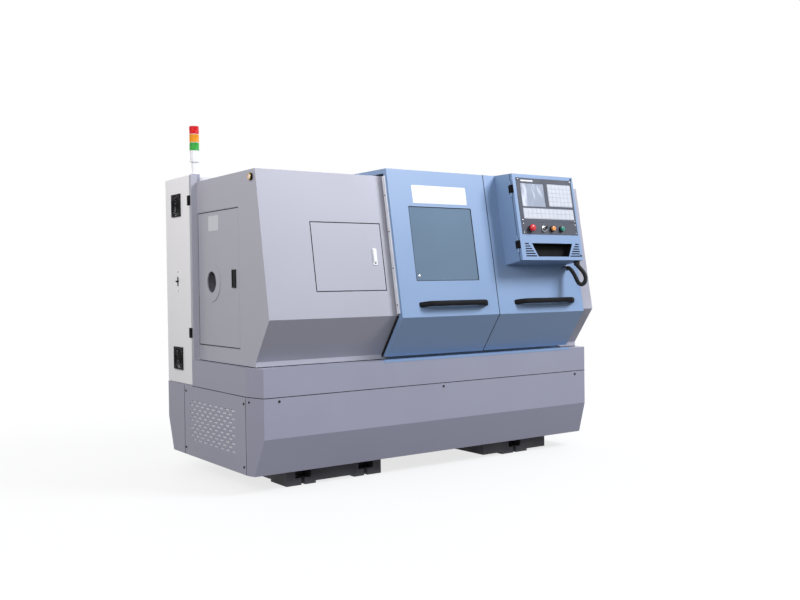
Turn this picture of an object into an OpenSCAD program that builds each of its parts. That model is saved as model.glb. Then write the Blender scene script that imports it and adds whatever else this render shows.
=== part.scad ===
// CNC turning lathe with a full sheet-metal enclosure, two sliding doors and a control box.
// X runs along the bed towards the tailstock, Y from front to back, Z up from the floor.
// Inside each module, y is measured back from the front face of the base.

/* [Base] */
// Length over the two side panels of the base
base_l = 2234; // [2200:2:2400]
// Depth of the base, front to back
base_d = 1130; // [1120:2:1300]
// Height of the skirt's lower edge above the floor
skirt_z = 91; // [70:1:110]
// Height of the bend in the skirt
bend_z = 275; // [220:1:330]
// Height of the seam between the skirt and the chip tray
seam_z = 474; // [450:1:490]
// Height of the chip tray's upper edge
tray_z = 615; // [590:1:630]
// Inward lean of the skirt's lower edge
skirt_lean = 68; // [30:1:90]
// Corner cut of the base along X
corner_x = 34; // [24:1:50]
// Corner cut of the base along Y
corner_y = 117; // [80:1:125]
// Thickness of the sheet metal
sheet = 2.5; // [2:0.5:3]
// Thickness of the deck plate under the bed
deck_t = 4; // [3:1:6]
// Width of the ledge around the top of the chip tray
ledge_w = 100; // [95:1:110]
// First edge of the vent panel along the left side
vent_y0 = 130; // [128:1:150]
// Last edge of the vent panel along the left side
vent_y1 = 895; // [880:1:920]
// Length of one vent slot
slot_l = 45; // [30:1:50]
// Height of one vent slot
slot_h = 10; // [6:1:12]
// Number of rows of vent slots
slot_rows = 11; // [6:1:11]
// Gap at the seam between neighbouring panels
seam_gap = 0.4; // [0.2:0.1:0.8]

/* [Legs] */
// Middle of the left leg along X
left_leg_x = -603; // [-620:1:-590]
// Length of the left leg
left_leg_l = 572; // [540:1:600]
// Middle of the right leg along X
right_leg_x = 643; // [620:1:660]
// Length of the right leg
right_leg_l = 487; // [440:1:520]
// Distance of the legs behind the front of the base
leg_y = 150; // [130:1:170]
// Depth of the legs
leg_d = 830; // [780:1:850]
// Wall of the cast legs
leg_wall = 28; // [20:1:36]
// Height of the machined pads under the legs
pad_h = 12; // [6:1:20]
// Length of one pad under the left leg
pad_l = 170; // [120:1:200]
// Length of the pad under the right leg
mid_pad_l = 196; // [150:1:240]
// Width of the anchor pocket in a leg
pocket_w = 93; // [70:1:110]
// Width of the anchor bolt slot
anchor_w = 21; // [16:1:26]
// Depth of the anchor bolt slot
anchor_d = 80; // [60:1:100]
// Thickness of the leg's foot at the slot
foot_t = 36; // [28:1:44]

/* [Spindle line] */
// Distance of the spindle behind the front of the base
spindle_y = 576; // [570:1:580]
// Height of the spindle above the floor
spindle_z = 1036; // [1020:1:1050]
// Height of the spindle above the flat of the ways
centre_h = 230; // [225:1:240]
// Width of the bed over its two rails
bed_w = 360; // [340:1:370]
// Width of one rail of the bed
rail_w = 84; // [70:1:90]
// Height of the ridge on each way
ridge_h = 12; // [8:1:16]
// Left end of the bed
bed_x0 = -930; // [-940:1:-920]
// Right end of the bed
bed_x1 = 900; // [890:1:910]
// Right face of the headstock
head_x1 = -460; // [-470:1:-455]
// Diameter of the spindle in its housing
spindle_dia = 110; // [100:1:120]
// Diameter of the hole through the spindle
bar_dia = 52; // [40:1:60]
// Diameter of the spindle's nose flange
nose_dia = 175; // [160:1:190]
// Diameter of the chuck
chuck_dia = 250; // [230:1:260]
// Length of the chuck
chuck_l = 105; // [90:1:120]
// Width of a chuck jaw
jaw_w = 32; // [24:1:36]
// Diameter of the pulley on the spindle
spindle_pulley_dia = 220; // [200:1:230]
// Diameter of the pulley on the motor
motor_pulley_dia = 150; // [130:1:160]
// Height of the main motor's shaft
motor_z = 270; // [262:1:280]
// Diameter of the main motor
motor_dia = 250; // [220:1:260]
// Length of the main motor
motor_l = 360; // [300:1:380]
// Running clearance of a shaft in its hole, on the radius
running = 0.05; // [0.02:0.01:0.09]
// Sliding clearance between guided faces
sliding = 0.3; // [0.2:0.05:0.5]

/* [Slides] */
// Middle of the carriage along X at rest
carriage_x = 150; // [140:1:160]
// Length of the carriage
carriage_l = 320; // [300:1:330]
// Length of the cross slide
cross_l = 380; // [360:1:390]
// Width of the cross slide
cross_w = 200; // [180:1:210]
// Middle of the turret along Y at rest
turret_y = 400; // [390:1:410]
// Side of the square turret head
turret_w = 180; // [160:1:190]
// Side of a tool shank
shank = 25; // [20:1:25]
// Left face of the tailstock
tail_x = 590; // [580:1:600]
// Length of the tailstock
tail_l = 260; // [240:1:270]
// Diameter of the quill
quill_dia = 75; // [65:1:85]
// Diameter of the Z ball screw
screw_dia = 32; // [25:1:40]

/* [Enclosure] */
// Depth of the enclosure behind the front of the base
enclosure_d = 781; // [780:1:784]
// Height of the roof of the covers
roof_z = 1579; // [1560:1:1600]
// Distance of the roof's front edge behind the front of the base
roof_y = 57; // [50:1:70]
// Height of the cover's bend
cover_bend_z = 850; // [830:1:870]
// Overhang of the cover's bend in front of the base
cover_over = 70; // [60:1:80]
// Height of the cover's lower edge above the tray
lip_h = 28; // [24:1:34]
// Distance of the cover's lower edge behind the front of the base
lip_y = 78; // [72:1:82]
// Right edge of the headstock cover
opening_x0 = -312; // [-318:1:-306]
// Left edge of the right end cover
opening_x1 = 930; // [922:1:936]

/* [Doors] */
// Seam between the two doors
door_seam_x = 305; // [295:1:315]
// Distance of the doors in front of the covers
door_proud = 44; // [40:1:48]
// Height of the doors' upper edge
door_z1 = 1617; // [1610:1:1625]
// Height of the doors' lower edge
door_z0 = 632; // [625:1:640]
// Distance of the doors' rail behind the front of the base
rail_y0 = 470; // [450:1:500]
// Depth of the folded edge of a door
return_d = 29; // [20:1:32]
// Lap of the left door over the headstock cover
left_lap = 36; // [24:1:44]
// Lap of the right door over the right end cover
right_lap = 31; // [24:1:40]
// Left edge of the window
window_x0 = -232; // [-250:1:-220]
// Width of the window
window_w = 422; // [380:1:440]
// Height of the window's lower edge
window_z0 = 1028; // [1000:1:1050]
// Height of the window
window_h = 394; // [360:1:410]
// Overlap of the pane behind the door
pane_lap = 15; // [10:1:20]
// Thickness of the pane
pane_t = 8; // [5:1:10]
// Length of a door handle
handle_l = 456; // [400:1:480]
// Height of the handles above the floor
handle_z = 903; // [890:1:920]
// Distance of a handle's grip from the door
handle_h = 48; // [40:1:60]
// Thickness of a handle
handle_t = 24; // [20:1:28]

/* [Hatch and access door] */
// Left edge of the hatch
hatch_x0 = -813; // [-830:1:-800]
// Width of the hatch
hatch_w = 418; // [400:1:430]
// Height of the hatch's lower edge
hatch_z0 = 979; // [960:1:990]
// Height of the hatch
hatch_h = 350; // [330:1:360]
// Front edge of the access door
access_y0 = 247; // [240:1:260]
// Width of the access door
access_w = 504; // [490:1:510]
// Height of the access door's lower edge
access_z0 = 698; // [690:1:710]
// Height of the access door
access_h = 711; // [690:1:720]
// Diameter of the hole opposite the spindle
bar_hole_dia = 112; // [90:1:120]
// Diameter of the disc around that hole
disc_dia = 208; // [190:1:220]
// Gap around a flush door
flush_gap = 1.5; // [1:0.25:2]

/* [Electrical cabinet] */
// Length of the cabinet along X
cabinet_l = 700; // [600:1:760]
// Front face of the cabinet
cabinet_y0 = 845; // [842:1:850]
// Height of the cabinet's top
cabinet_z1 = 1616; // [1600:1:1640]
// Thickness of the cabinet door
cabinet_door_t = 20; // [16:1:24]
// Front edge of the cabinet door
cabinet_door_y0 = 783; // [783:1:786]
// Side of a fan guard
fan_w = 124; // [110:1:130]
// Height of the lower fan
fan_z0 = 616; // [600:1:630]
// Height of the upper fan
fan_z1 = 1465; // [1450:1:1480]
// Side of the square post
post_w = 40; // [30:1:44]
// Height of the post
post_z = 1626; // [1620:1:1640]
// Diameter of the signal tower
tower_dia = 52; // [40:1:60]
// Height of one lens
lens_h = 45; // [35:1:50]

/* [Control box] */
// Left side of the control box
box_x0 = 396; // [390:1:400]
// Width of the control box
box_w = 467; // [460:1:480]
// Depth of the control box in front of the door
box_d = 143; // [130:1:150]
// Height of the control box's lower front edge
box_z0 = 1135; // [1125:1:1140]
// Thickness of the lid
lid_t = 18; // [16:1:22]
// Diameter of the flexible conduit
conduit_dia = 24; // [18:1:28]

/* [Hidden] */
$fn = 48;

// Place of the base's front face in the part's own frame
front_y = -458;
// Reach of a cut past the face that it leaves
over = 1;
grey = "#a9a7b0";
blue = "#8fabd6";
white = "#e2e2e4";
iron = "#55565c";
steel = "#b9bcc2";
black = "#202124";

// Base
side_x = base_l / 2;
body_x = side_x - corner_x;
deck_z = seam_z + deck_t;
cover_lip_z = tray_z + lip_h;
cabinet_inset = 6;
cabinet_y1 = base_d - cabinet_inset;

// Slope of the covers' front: upper and lower planes and their outward normals, as [y, z]
bend_at = [-cover_over, cover_bend_z];
up_run = [roof_y, roof_z] - bend_at;
up_dir = up_run / norm(up_run);
up_out = [-up_dir[1], up_dir[0]];
low_run = bend_at - [lip_y, cover_lip_z];
low_dir = low_run / norm(low_run);
low_out = [-low_dir[1], low_dir[0]];
bend_out = (up_out + low_out) / (1 + up_out * low_out);
slope_deg = atan2(up_dir[0], up_dir[1]);

// Distance back, at height z, of the upper or lower plane moved out by d
function upper_y(d, z) =
    let (p = bend_at + d * up_out) p[0] + (z - p[1]) * up_dir[0] / up_dir[1];
function lower_y(d, z) =
    let (p = bend_at + d * low_out) p[0] + (z - p[1]) * low_dir[0] / low_dir[1];
function bend_point(d) = bend_at + d * bend_out;
// Bent strip between the planes moved out by d0 and d1, from height z0 up to z1
function bent_strip(d0, d1, z0, z1) = [
    [upper_y(d0, z1), z1], bend_point(d0), [lower_y(d0, z0), z0],
    [lower_y(d1, z0), z0], bend_point(d1), [upper_y(d1, z1), z1],
];
// Flat strip on the upper plane
function flat_strip(d0, d1, z0, z1) = [
    [upper_y(d0, z1), z1], [upper_y(d0, z0), z0], [upper_y(d1, z0), z0], [upper_y(d1, z1), z1],
];

// Spindle line
way_z = spindle_z - centre_h;
bed_y0 = spindle_y - bed_w / 2;
bed_y1 = spindle_y + bed_w / 2;
front_way_y = bed_y0 + rail_w / 2;
rear_way_y = bed_y1 - rail_w / 2;
ridge_w = 3 * ridge_h;
head_x0 = bed_x0 + 10;
pulley_l = 60;
pulley_gap = 45;
pulley_x1 = head_x0 - pulley_gap;
pulley_x0 = pulley_x1 - pulley_l;
spindle_x0 = pulley_x0 - 10;
nose_l = 28;
nose_x1 = head_x1 + 8 + nose_l;
chuck_x1 = nose_x1 + chuck_l;
belt_t = 9;
jaw_root_l = 70;
jaw_slot_d = 26;
jaw_r0 = 42;
left_leg_x0 = left_leg_x - left_leg_l / 2;
motor_x0 = left_leg_x0 + leg_wall;
motor_shaft_dia = 48;
motor_seat = 40;
motor_flange_t = 22;
motor_bell_l = 60;
fin_h = 12;

// Slides
saddle_t = 46;
saddle_z = way_z + saddle_t;
dovetail_h = 20;
dovetail_w = 90;
cross_z0 = saddle_z + sliding;
cross_z1 = saddle_z + 48;
cross_front = 306;
cross_y0 = spindle_y - cross_front;
tee_slot_x = 70;
wing_l = 70;
wing_lap = 20;
turret_seat_z = cross_z1 + 50;
tool_z = spindle_z - shank;
tool_reach = 40;
apron_y0 = bed_y0 - 66;
screw_y = bed_y0 - 44;
screw_z = way_z - 70;
screw_x0 = -428;
screw_bearing_l = 34;
servo_w = 100;
servo_l = 140;

// Doors
left_door_x0 = opening_x0 - left_lap;
left_door_x1 = door_seam_x - 0.5;
right_door_x0 = door_seam_x + 0.5;
right_door_x1 = opening_x1 + right_lap;
rail_t = 20;
rail_inset = 140;
header_h = 45;
rail_room = 10;
door_hook_y = rail_y0 + rail_t + rail_room;
door_hook_h = 25;
handle_foot = 30;
frame_lap = 14;
frame_t = 4;
handle_splay = 42;

// Cabinet
cabinet_x0 = -side_x + cabinet_door_t + sliding;
cabinet_door_y1 = cabinet_y1;
cabinet_door_z0 = deck_z + 2;
fan_y = (cabinet_door_y0 + cabinet_door_y1) / 2 + 11;
fan_hole_dia = fan_w - 10;
fan_depth = 25;
post_x0 = -side_x + cabinet_door_t + 10;
post_y0 = cabinet_door_y0 + 16;
tower_x = post_x0 + post_w / 2;
tower_y = post_y0 + post_w / 2;
stem_h = 66;
tower_base_h = 60;
tower_z = post_z + stem_h + tower_base_h;
cabinet_latch_z = (cabinet_door_z0 + cabinet_z1) / 2 - 5;
jamb_gap = 4;
jamb_seam = 2;
jamb_y0 = access_y0 + access_w + jamb_gap;
jamb_y1 = cabinet_door_y0 - jamb_seam;
cabinet_hinge_dia = 9;
cabinet_hinge_l = 52;
cabinet_hinge_low = 283;
cabinet_hinge_top = 136;
cabinet_hinge_z = [cabinet_door_z0 + cabinet_hinge_low, cabinet_z1 - cabinet_hinge_top];
cabinet_leaf_w = 22;
cabinet_leaf_t = 3;
plate_margin = 60;
drive_d = 150;
contactor_d = 100;
duct_d = 70;
duct_h = 50;
wall_fold_d = 60;
wall_fold_h = 40;

// Control box
box_x1 = box_x0 + box_w;
lid_d1 = door_proud + box_d;
lid_d0 = lid_d1 - lid_t;
lid_v1 = (door_z1 - box_z0) / up_dir[1];
box_wall = sheet;
// Lower edge of the box at distance d in front of the covers
function box_low(d) = [upper_y(lid_d1, box_z0), box_z0] + (d - lid_d1) * up_out;
hinge_dia = 10;
hinge_x = box_x0 - hinge_dia / 2 - 0.5;
hinge_l = 44;
hinge_low = 90;
hinge_top = 85;
hinge_v = [hinge_low, lid_v1 - hinge_top];
cnc_x0 = box_x0 + 23;
cnc_w = 428;
cnc_v0 = 216;
cnc_h = 252;
bezel_t = 2;
bezel_lap = 6;
cnc_depth = 40;
plate_v0 = 146;
plate_h = 68;
button_v = 178;
estop_x = box_x0 + 87;
selector_x = box_x0 + 187;
hold_x = box_x0 + 250;
start_x = box_x0 + 321;
stem_dia = 14;
plate_t = 12;
estop_dia = 40;
estop_travel = 5;
button_dia = 26;
button_travel = 4;
screen_x0 = box_x0 + 51;
screen_w = 175;
screen_v0 = 305;
screen_h = 132;
screen_recess = 1;
screen_t = 6;
keys_x0 = box_x0 + 256;
keys_w = 178;
keys_v0 = 312;
keys_h = 124;
strip_x0 = box_x0 + 52;
strip_w = 382;
strip_v0 = 237;
strip_h = 55;
key_t = 1.2;
grip_v0 = 20;
grip_h = 76;
grip_top_w = 313;
grip_low_w = 236;
grip_x = box_x0 + 240;

// Route of the flexible conduit from the door's gland to the box's gland, chosen by hand
gland_dia = 31;
door_gland_l = 30;
box_gland_l = 20;
door_gland = [846, upper_y(door_proud, 1088), 1088];
box_gland = [845, box_low(lid_d0 - 18)[0], box_low(lid_d0 - 18)[1]];
gland_out = [0, up_out[0], up_out[1]];
gland_down = [0, -up_dir[0], -up_dir[1]];
conduit_route = [
    door_gland + door_gland_l * gland_out,
    [846, -116, 1090], [846, -140, 1072], [846, -162, 1044], [845, -183, 1013], [845, -195, 1001],
    [845, -212, 996], [845, -229, 1001], [845, -241, 1013], [845, -246, 1030], [845, -241, 1048],
    [845, -227, 1068], [845, -206, 1087],
    box_gland + box_gland_l * gland_down,
];

// Helpers
module from_front() translate([0, front_y, 0]) children();

// Box between two corners given as [from, to] along each axis
module block(x, y, z)
    translate([x[0], y[0], z[0]]) cube([x[1] - x[0], y[1] - y[0], z[1] - z[0]]);

// Outline in (y, z) drawn out along X
module along_x(x0, x1)
    translate([x0, 0, 0]) rotate([90, 0, 90]) linear_extrude(x1 - x0) children();

// Outline in (x, z) drawn out along Y
module along_y(y0, y1)
    translate([0, y1, 0]) rotate([90, 0, 0]) linear_extrude(y1 - y0) children();

// Round bar along X
module x_bar(x0, x1, y, z, d)
    translate([x0, y, z]) rotate([0, 90, 0]) cylinder(d = d, h = x1 - x0);

// Frame on the upper plane moved out by d: local Z runs up the slope, local -Y points out
module on_slope(d, z)
    translate([0, upper_y(d, z), z]) rotate([-slope_deg, 0, 0]) children();

// Frame on the lid's front: local Z runs up the slope from the lid's lower edge
module on_lid() on_slope(lid_d1, box_z0) children();

// Round boss pointing out of the lid, from depth y0 behind the face to y1 in front of it
module lid_boss(x, v, d, y0, y1)
    translate([x, y0, v]) rotate([90, 0, 0]) cylinder(d = d, h = y0 + y1);

// Plan outline of the base, drawn in by t, with the front and back drawn in further by lean
function plan(t, lean, back) =
    let (
        side = side_x - t,
        run = norm([corner_x, corner_y]),
        face = body_x - t * (run - corner_x) / corner_y,
        corner = corner_y + t * (run - corner_y) / corner_x
    ) [
        [-face, t + lean], [face, t + lean], [side, corner], [side, back - corner],
        [face, back - t - lean], [-face, back - t - lean], [-side, back - corner], [-side, corner],
    ];
function at_height(points, z) = [for (p = points) [p[0], p[1], z]];

// Solid inside the skirt's sheet, drawn in by t: upright above the bend, leaning in below it
module skirt_solid(t, z0, z1) {
    n = 8;
    corners = concat(
        at_height(plan(t, skirt_lean, base_d), z0),
        at_height(plan(t, 0, base_d), bend_z),
        at_height(plan(t, 0, base_d), z1)
    );
    faces = concat(
        [[for (i = [0 : n - 1]) i]],
        [for (i = [0 : n - 1])
            let (j = (i + 1) % n, a = i % 4 == 1 ? [i, i + n, j] : [i, j + n, j]) a],
        [for (i = [0 : n - 1])
            let (j = (i + 1) % n, b = i % 4 == 1 ? [j, i + n, j + n] : [i, i + n, j + n]) b],
        [for (i = [0 : n - 1]) let (j = (i + 1) % n) [i + n, i + 2 * n, j + 2 * n, j + n]],
        [[for (i = [n - 1 : -1 : 0]) i + 2 * n]]
    );
    polyhedron(corners, faces);
}

module skirt_shell() {
    difference() {
        skirt_solid(0, skirt_z, seam_z - seam_gap);
        skirt_solid(sheet, skirt_z - over, seam_z + over);
    }
}

// Cast legs
module anchor_cut(x, y, turn) {
    translate([x, y, 0]) rotate([0, 0, turn]) {
        block([-anchor_w / 2, anchor_w / 2], [-over, anchor_d - anchor_w / 2], [-over, foot_t + over]);
        translate([0, anchor_d - anchor_w / 2, -over]) cylinder(d = anchor_w, h = foot_t + 2 * over);
        block([-pocket_w / 2, pocket_w / 2], [-over, anchor_d + 10], [foot_t, foot_t + 60]);
    }
}

module leg_box(x0, x1) {
    y1 = leg_y + leg_d;
    difference() {
        block([x0, x1], [leg_y, y1], [0, seam_z]);
        block([x0 + leg_wall, x1 - leg_wall], [leg_y + 2 * leg_wall + anchor_d, y1 - 2 * leg_wall - anchor_d],
            [-over, seam_z - leg_wall]);
        block([x0 + leg_wall, x1 - leg_wall], [leg_y + leg_wall, y1 - leg_wall],
            [foot_t + 60 + leg_wall, seam_z - leg_wall]);
        // window in the back wall
        block([x0 + 3 * leg_wall, x1 - 3 * leg_wall], [y1 - 2 * leg_wall, y1 + over],
            [foot_t + 60 + 2 * leg_wall, seam_z - 3 * leg_wall]);
    }
}

module left_leg() {
    x0 = left_leg_x0;
    x1 = left_leg_x + left_leg_l / 2;
    y1 = leg_y + leg_d;
    color(iron) from_front() difference() {
        leg_box(x0, x1);
        // relief between the pads, both ways
        block([x0 + pad_l, x1 - pad_l], [leg_y - over, y1 + over], [-over, pad_h]);
        block([x0 - over, x1 + over], [leg_y + pad_l, y1 - pad_l], [-over, pad_h]);
        for (x = [x0 + pad_l * 0.57, x1 - pad_l * 0.57]) {
            anchor_cut(x, leg_y, 0);
            anchor_cut(x, y1, 180);
        }
        // way through for the motor shaft
        x_bar(x0 - over, motor_x0 + over, spindle_y, motor_z, motor_shaft_dia * 2);
    }
}

module right_leg() {
    x0 = right_leg_x - right_leg_l / 2;
    x1 = right_leg_x + right_leg_l / 2;
    y1 = leg_y + leg_d;
    color(iron) from_front() difference() {
        leg_box(x0, x1);
        for (s = [[x0 - over, right_leg_x - mid_pad_l / 2], [right_leg_x + mid_pad_l / 2, x1 + over]])
            block(s, [leg_y - over, y1 + over], [-over, pad_h]);
        block([x0 - over, x1 + over], [leg_y + pad_l, y1 - pad_l], [-over, pad_h]);
        anchor_cut(right_leg_x, leg_y, 0);
        anchor_cut(right_leg_x, y1, 180);
    }
}

// Chip tray: upright band with a ledge round its top, on the deck plate that carries the bed
module chip_tray() {
    band = concat([for (p = [7, 0, 1, 2]) plan(0, 0, base_d)[p]],
        [[side_x, enclosure_d], [-side_x, enclosure_d]]);
    inner = concat([for (p = [7, 0, 1, 2]) plan(sheet, 0, base_d)[p]],
        [[side_x - sheet, enclosure_d - sheet], [sheet - side_x, enclosure_d - sheet]]);
    color(grey) from_front() {
        difference() {
            translate([0, 0, seam_z]) linear_extrude(tray_z - seam_z) polygon(band);
            translate([0, 0, deck_z]) linear_extrude(tray_z - sheet - deck_z) polygon(inner);
            block([corner_x + 10 - side_x, side_x - corner_x - 10], [ledge_w, enclosure_d - 20],
                [tray_z - sheet - over, tray_z + over]);
            belt_slot();
        }
        difference() {
            translate([0, 0, seam_z]) linear_extrude(deck_t) polygon(plan(0, 0, base_d));
            belt_slot();
        }
    }
}

module belt_slot()
    block([pulley_x0 - 10, pulley_x1 + 10],
        [spindle_y - spindle_pulley_dia / 2 - 30, spindle_y + spindle_pulley_dia / 2 + 30],
        [seam_z - over, deck_z + over]);

module front_skirt() {
    color(grey) from_front() intersection() {
        skirt_shell();
        block([-side_x - over, side_x + over], [-over, vent_y0 - seam_gap], [0, seam_z]);
    }
}

// Back of the skirt, which also closes the right side
module rear_skirt() {
    color(grey) from_front() difference() {
        skirt_shell();
        block([-side_x - over, side_x + over], [-over, vent_y0], [0, seam_z]);
        block([-side_x - over, 0], [-over, vent_y1 + seam_gap], [0, seam_z]);
    }
}

// Louvred panel of the motor bay, held by four screws
module vent_panel() {
    pitch_y = slot_l * 1.55;
    pitch_z = slot_h * 2.06;
    first_y = 274;
    first_z = 186;
    columns = floor((vent_y1 - first_y) / pitch_y);
    color(grey) from_front() along_x(-side_x, -side_x + sheet) difference() {
        translate([vent_y0, skirt_z]) square([vent_y1 - vent_y0, seam_z - seam_gap - skirt_z]);
        for (row = [0 : slot_rows - 1])
            for (column = [0 : columns - 1])
                translate([first_y + (column + (row % 2) / 2) * pitch_y, first_z + row * pitch_z]) {
                    square([slot_l - slot_h, slot_h], center = true);
                    translate([(slot_l - slot_h) / 2, 0]) circle(d = slot_h);
                    translate([(slot_h - slot_l) / 2, 0]) circle(d = slot_h);
                }
    }
}

// Bed, headstock and drive
function way_outline(y, z0) = [
    [y - rail_w / 2, z0], [y + rail_w / 2, z0], [y + rail_w / 2, way_z], [y + ridge_w / 2, way_z],
    [y, way_z + ridge_h], [y - ridge_w / 2, way_z], [y - rail_w / 2, way_z],
];

// Ridge of one way with room for a slide, cut from whatever rides on it
module ridge_cut(x0, x1, gap) {
    for (y = [front_way_y, rear_way_y])
        along_x(x0 - over, x1 + over) polygon([
            [y - ridge_w / 2 - 2 * gap, way_z - over], [y + ridge_w / 2 + 2 * gap, way_z - over],
            [y + ridge_w / 2 + 2 * gap, way_z + gap], [y, way_z + ridge_h + 2 * gap],
            [y - ridge_w / 2 - 2 * gap, way_z + gap],
        ]);
}

module screw_bearing(x0) {
    difference() {
        along_x(x0, x0 + screw_bearing_l) polygon([
            [screw_y - 34, screw_z - 30], [screw_y - 34, screw_z + 30], [bed_y0 + over, screw_z + 50],
            [bed_y0 + over, screw_z - 90],
        ]);
        x_bar(x0 - over, x0 + screw_bearing_l + over, screw_y, screw_z, screw_dia + 2 * running);
    }
}

module bed() {
    ribs = 6;
    rib_t = 30;
    bay = (bed_x1 - bed_x0 - rib_t) / ribs;
    window_w = bay - rib_t - 90;
    window_h = 110;
    color(iron) from_front() {
        difference() {
            for (y = [front_way_y, rear_way_y])
                along_x(bed_x0, bed_x1) polygon(way_outline(y, deck_z));
            // chip windows between the ribs
            for (i = [0 : ribs - 1])
                translate([bed_x0 + rib_t + (i + 0.5) * bay - rib_t / 2, 0, (deck_z + way_z) / 2 - 30]) {
                    block([-window_w / 2, window_w / 2], [bed_y0 - over, bed_y1 + over],
                        [-window_h / 2, window_h / 2]);
                    for (s = [-1, 1])
                        translate([s * window_w / 2, bed_y1 + over, 0]) rotate([90, 0, 0])
                            cylinder(d = window_h, h = bed_w + 2 * over);
                }
        }
        for (i = [0 : ribs])
            block([bed_x0 + i * bay, bed_x0 + i * bay + rib_t],
                [bed_y0 + rail_w - over, bed_y1 - rail_w + over], [deck_z, way_z - 60]);
        screw_bearing(screw_x0);
        screw_bearing(bed_x1 - screw_bearing_l);
    }
}

module headstock() {
    top_z = spindle_z + 185;
    cut = 70;
    color(iron) from_front() difference() {
        union() {
            along_x(head_x0, head_x1) polygon([
                [bed_y0, way_z], [bed_y1, way_z], [bed_y1, top_z - cut], [bed_y1 - cut, top_z],
                [bed_y0 + cut, top_z], [bed_y0, top_z - cut],
            ]);
            x_bar(head_x1 - over, head_x1 + 6, spindle_y, spindle_z, spindle_dia + 90);
            x_bar(head_x0 - 20, head_x0 + over, spindle_y, spindle_z, spindle_dia + 60);
        }
        ridge_cut(head_x0, head_x1, 0);
        x_bar(head_x0 - 20 - over, head_x1 + 6 + over, spindle_y, spindle_z, spindle_dia + 2 * running);
    }
}

// Spindle: journal, nose flange and rear pulley turned as one, bored for bar stock
module spindle() {
    color(steel) from_front() difference() {
        union() {
            x_bar(spindle_x0, nose_x1, spindle_y, spindle_z, spindle_dia);
            x_bar(nose_x1 - nose_l, nose_x1, spindle_y, spindle_z, nose_dia);
            x_bar(pulley_x0, pulley_x1, spindle_y, spindle_z, spindle_pulley_dia);
        }
        x_bar(spindle_x0 - over, nose_x1 + over, spindle_y, spindle_z, bar_dia);
    }
}

// Angle of a jaw around the chuck, the first one upright
function jaw_angle(i) = 120 * i;

module at_jaw(i)
    translate([chuck_x1, spindle_y, spindle_z]) rotate([jaw_angle(i), 0, 0]) children();

module chuck() {
    color(steel) from_front() difference() {
        x_bar(nose_x1, chuck_x1, spindle_y, spindle_z, chuck_dia);
        x_bar(nose_x1 - over, chuck_x1 + over, spindle_y, spindle_z, bar_dia + 10);
        for (i = [0 : 2])
            at_jaw(i) block([-jaw_slot_d, over], [-jaw_w / 2 - sliding, jaw_w / 2 + sliding],
                [bar_dia / 2 - over, chuck_dia]);
        // groove round the body
        difference() {
            x_bar(chuck_x1 - 60, chuck_x1 - 54, spindle_y, spindle_z, chuck_dia + 10);
            x_bar(chuck_x1 - 61, chuck_x1 - 53, spindle_y, spindle_z, chuck_dia - 8);
        }
    }
}

module jaw(i) {
    r1 = jaw_r0 + jaw_root_l;
    color(steel) from_front() at_jaw(i) along_y(-jaw_w / 2, jaw_w / 2) polygon([
        [-jaw_slot_d + sliding, jaw_r0], [42, jaw_r0], [42, jaw_r0 + 24], [26, jaw_r0 + 24],
        [26, jaw_r0 + 46], [12, jaw_r0 + 46], [12, r1], [-jaw_slot_d + sliding, r1],
    ]);
}

module jaw_1() jaw(0);
module jaw_2() jaw(1);
module jaw_3() jaw(2);

// Main motor: ribbed frame bolted by its flange to the leg's left wall
module main_motor() {
    fins = 24;
    fin_t = 5;
    x1 = motor_x0 + motor_l;
    core = motor_dia - 2 * fin_h;
    color("#4a5a6a") from_front() difference() {
        union() {
            x_bar(motor_x0, motor_x0 + motor_flange_t, spindle_y, motor_z, motor_dia);
            x_bar(motor_x0 + motor_flange_t - over, x1, spindle_y, motor_z, core);
            x_bar(x1 - motor_bell_l, x1, spindle_y, motor_z, motor_dia);
            for (i = [0 : fins - 1])
                translate([motor_x0 + motor_flange_t / 2, spindle_y, motor_z]) rotate([i * 360 / fins, 0, 0])
                    block([0, motor_l - motor_bell_l], [-fin_t / 2, fin_t / 2],
                        [core / 2 - 4, motor_dia / 2 - over]);
        }
        x_bar(motor_x0 - over, motor_x0 + motor_seat, spindle_y, motor_z, motor_shaft_dia + 2 * running);
    }
}

module motor_pulley() {
    color(steel) from_front() {
        x_bar(pulley_x0, motor_x0 + motor_seat - over, spindle_y, motor_z, motor_shaft_dia);
        x_bar(pulley_x0, pulley_x1, spindle_y, motor_z, motor_pulley_dia);
    }
}

// Outline of a belt's edge round both pulleys, drawn out from them by t
module belt_outline(t) {
    r1 = spindle_pulley_dia / 2 + t;
    r0 = motor_pulley_dia / 2 + t;
    rise = (r1 - r0) / (spindle_z - motor_z);
    run = sqrt(1 - rise * rise);
    translate([spindle_y, spindle_z]) circle(r = r1);
    translate([spindle_y, motor_z]) circle(r = r0);
    polygon([
        [spindle_y + r1 * run, spindle_z + r1 * rise], [spindle_y - r1 * run, spindle_z + r1 * rise],
        [spindle_y - r0 * run, motor_z + r0 * rise], [spindle_y + r0 * run, motor_z + r0 * rise],
    ]);
}

module drive_belt() {
    color(black) from_front() along_x(pulley_x0 + 4, pulley_x1 - 4) difference() {
        belt_outline(belt_t);
        belt_outline(sliding);
    }
}

module z_screw() {
    color(steel) from_front()
        x_bar(screw_x0 + 4, bed_x1, screw_y, screw_z, screw_dia);
}

// Servo motor along X with its flange at the low end
module servo(x0, y, z) {
    block([x0, x0 + 12], [y - servo_w / 2, y + servo_w / 2], [z - servo_w / 2, z + servo_w / 2]);
    x_bar(x0 + 11, x0 + servo_l, y, z, servo_w - 8);
    block([x0 + servo_l - 40, x0 + servo_l], [y - servo_w / 2 + 6, y + servo_w / 2 - 6],
        [z - servo_w / 2 + 6, z + servo_w / 2 - 6]);
}

module z_servo() color(black) from_front() servo(bed_x1, screw_y - 2, screw_z);

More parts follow.
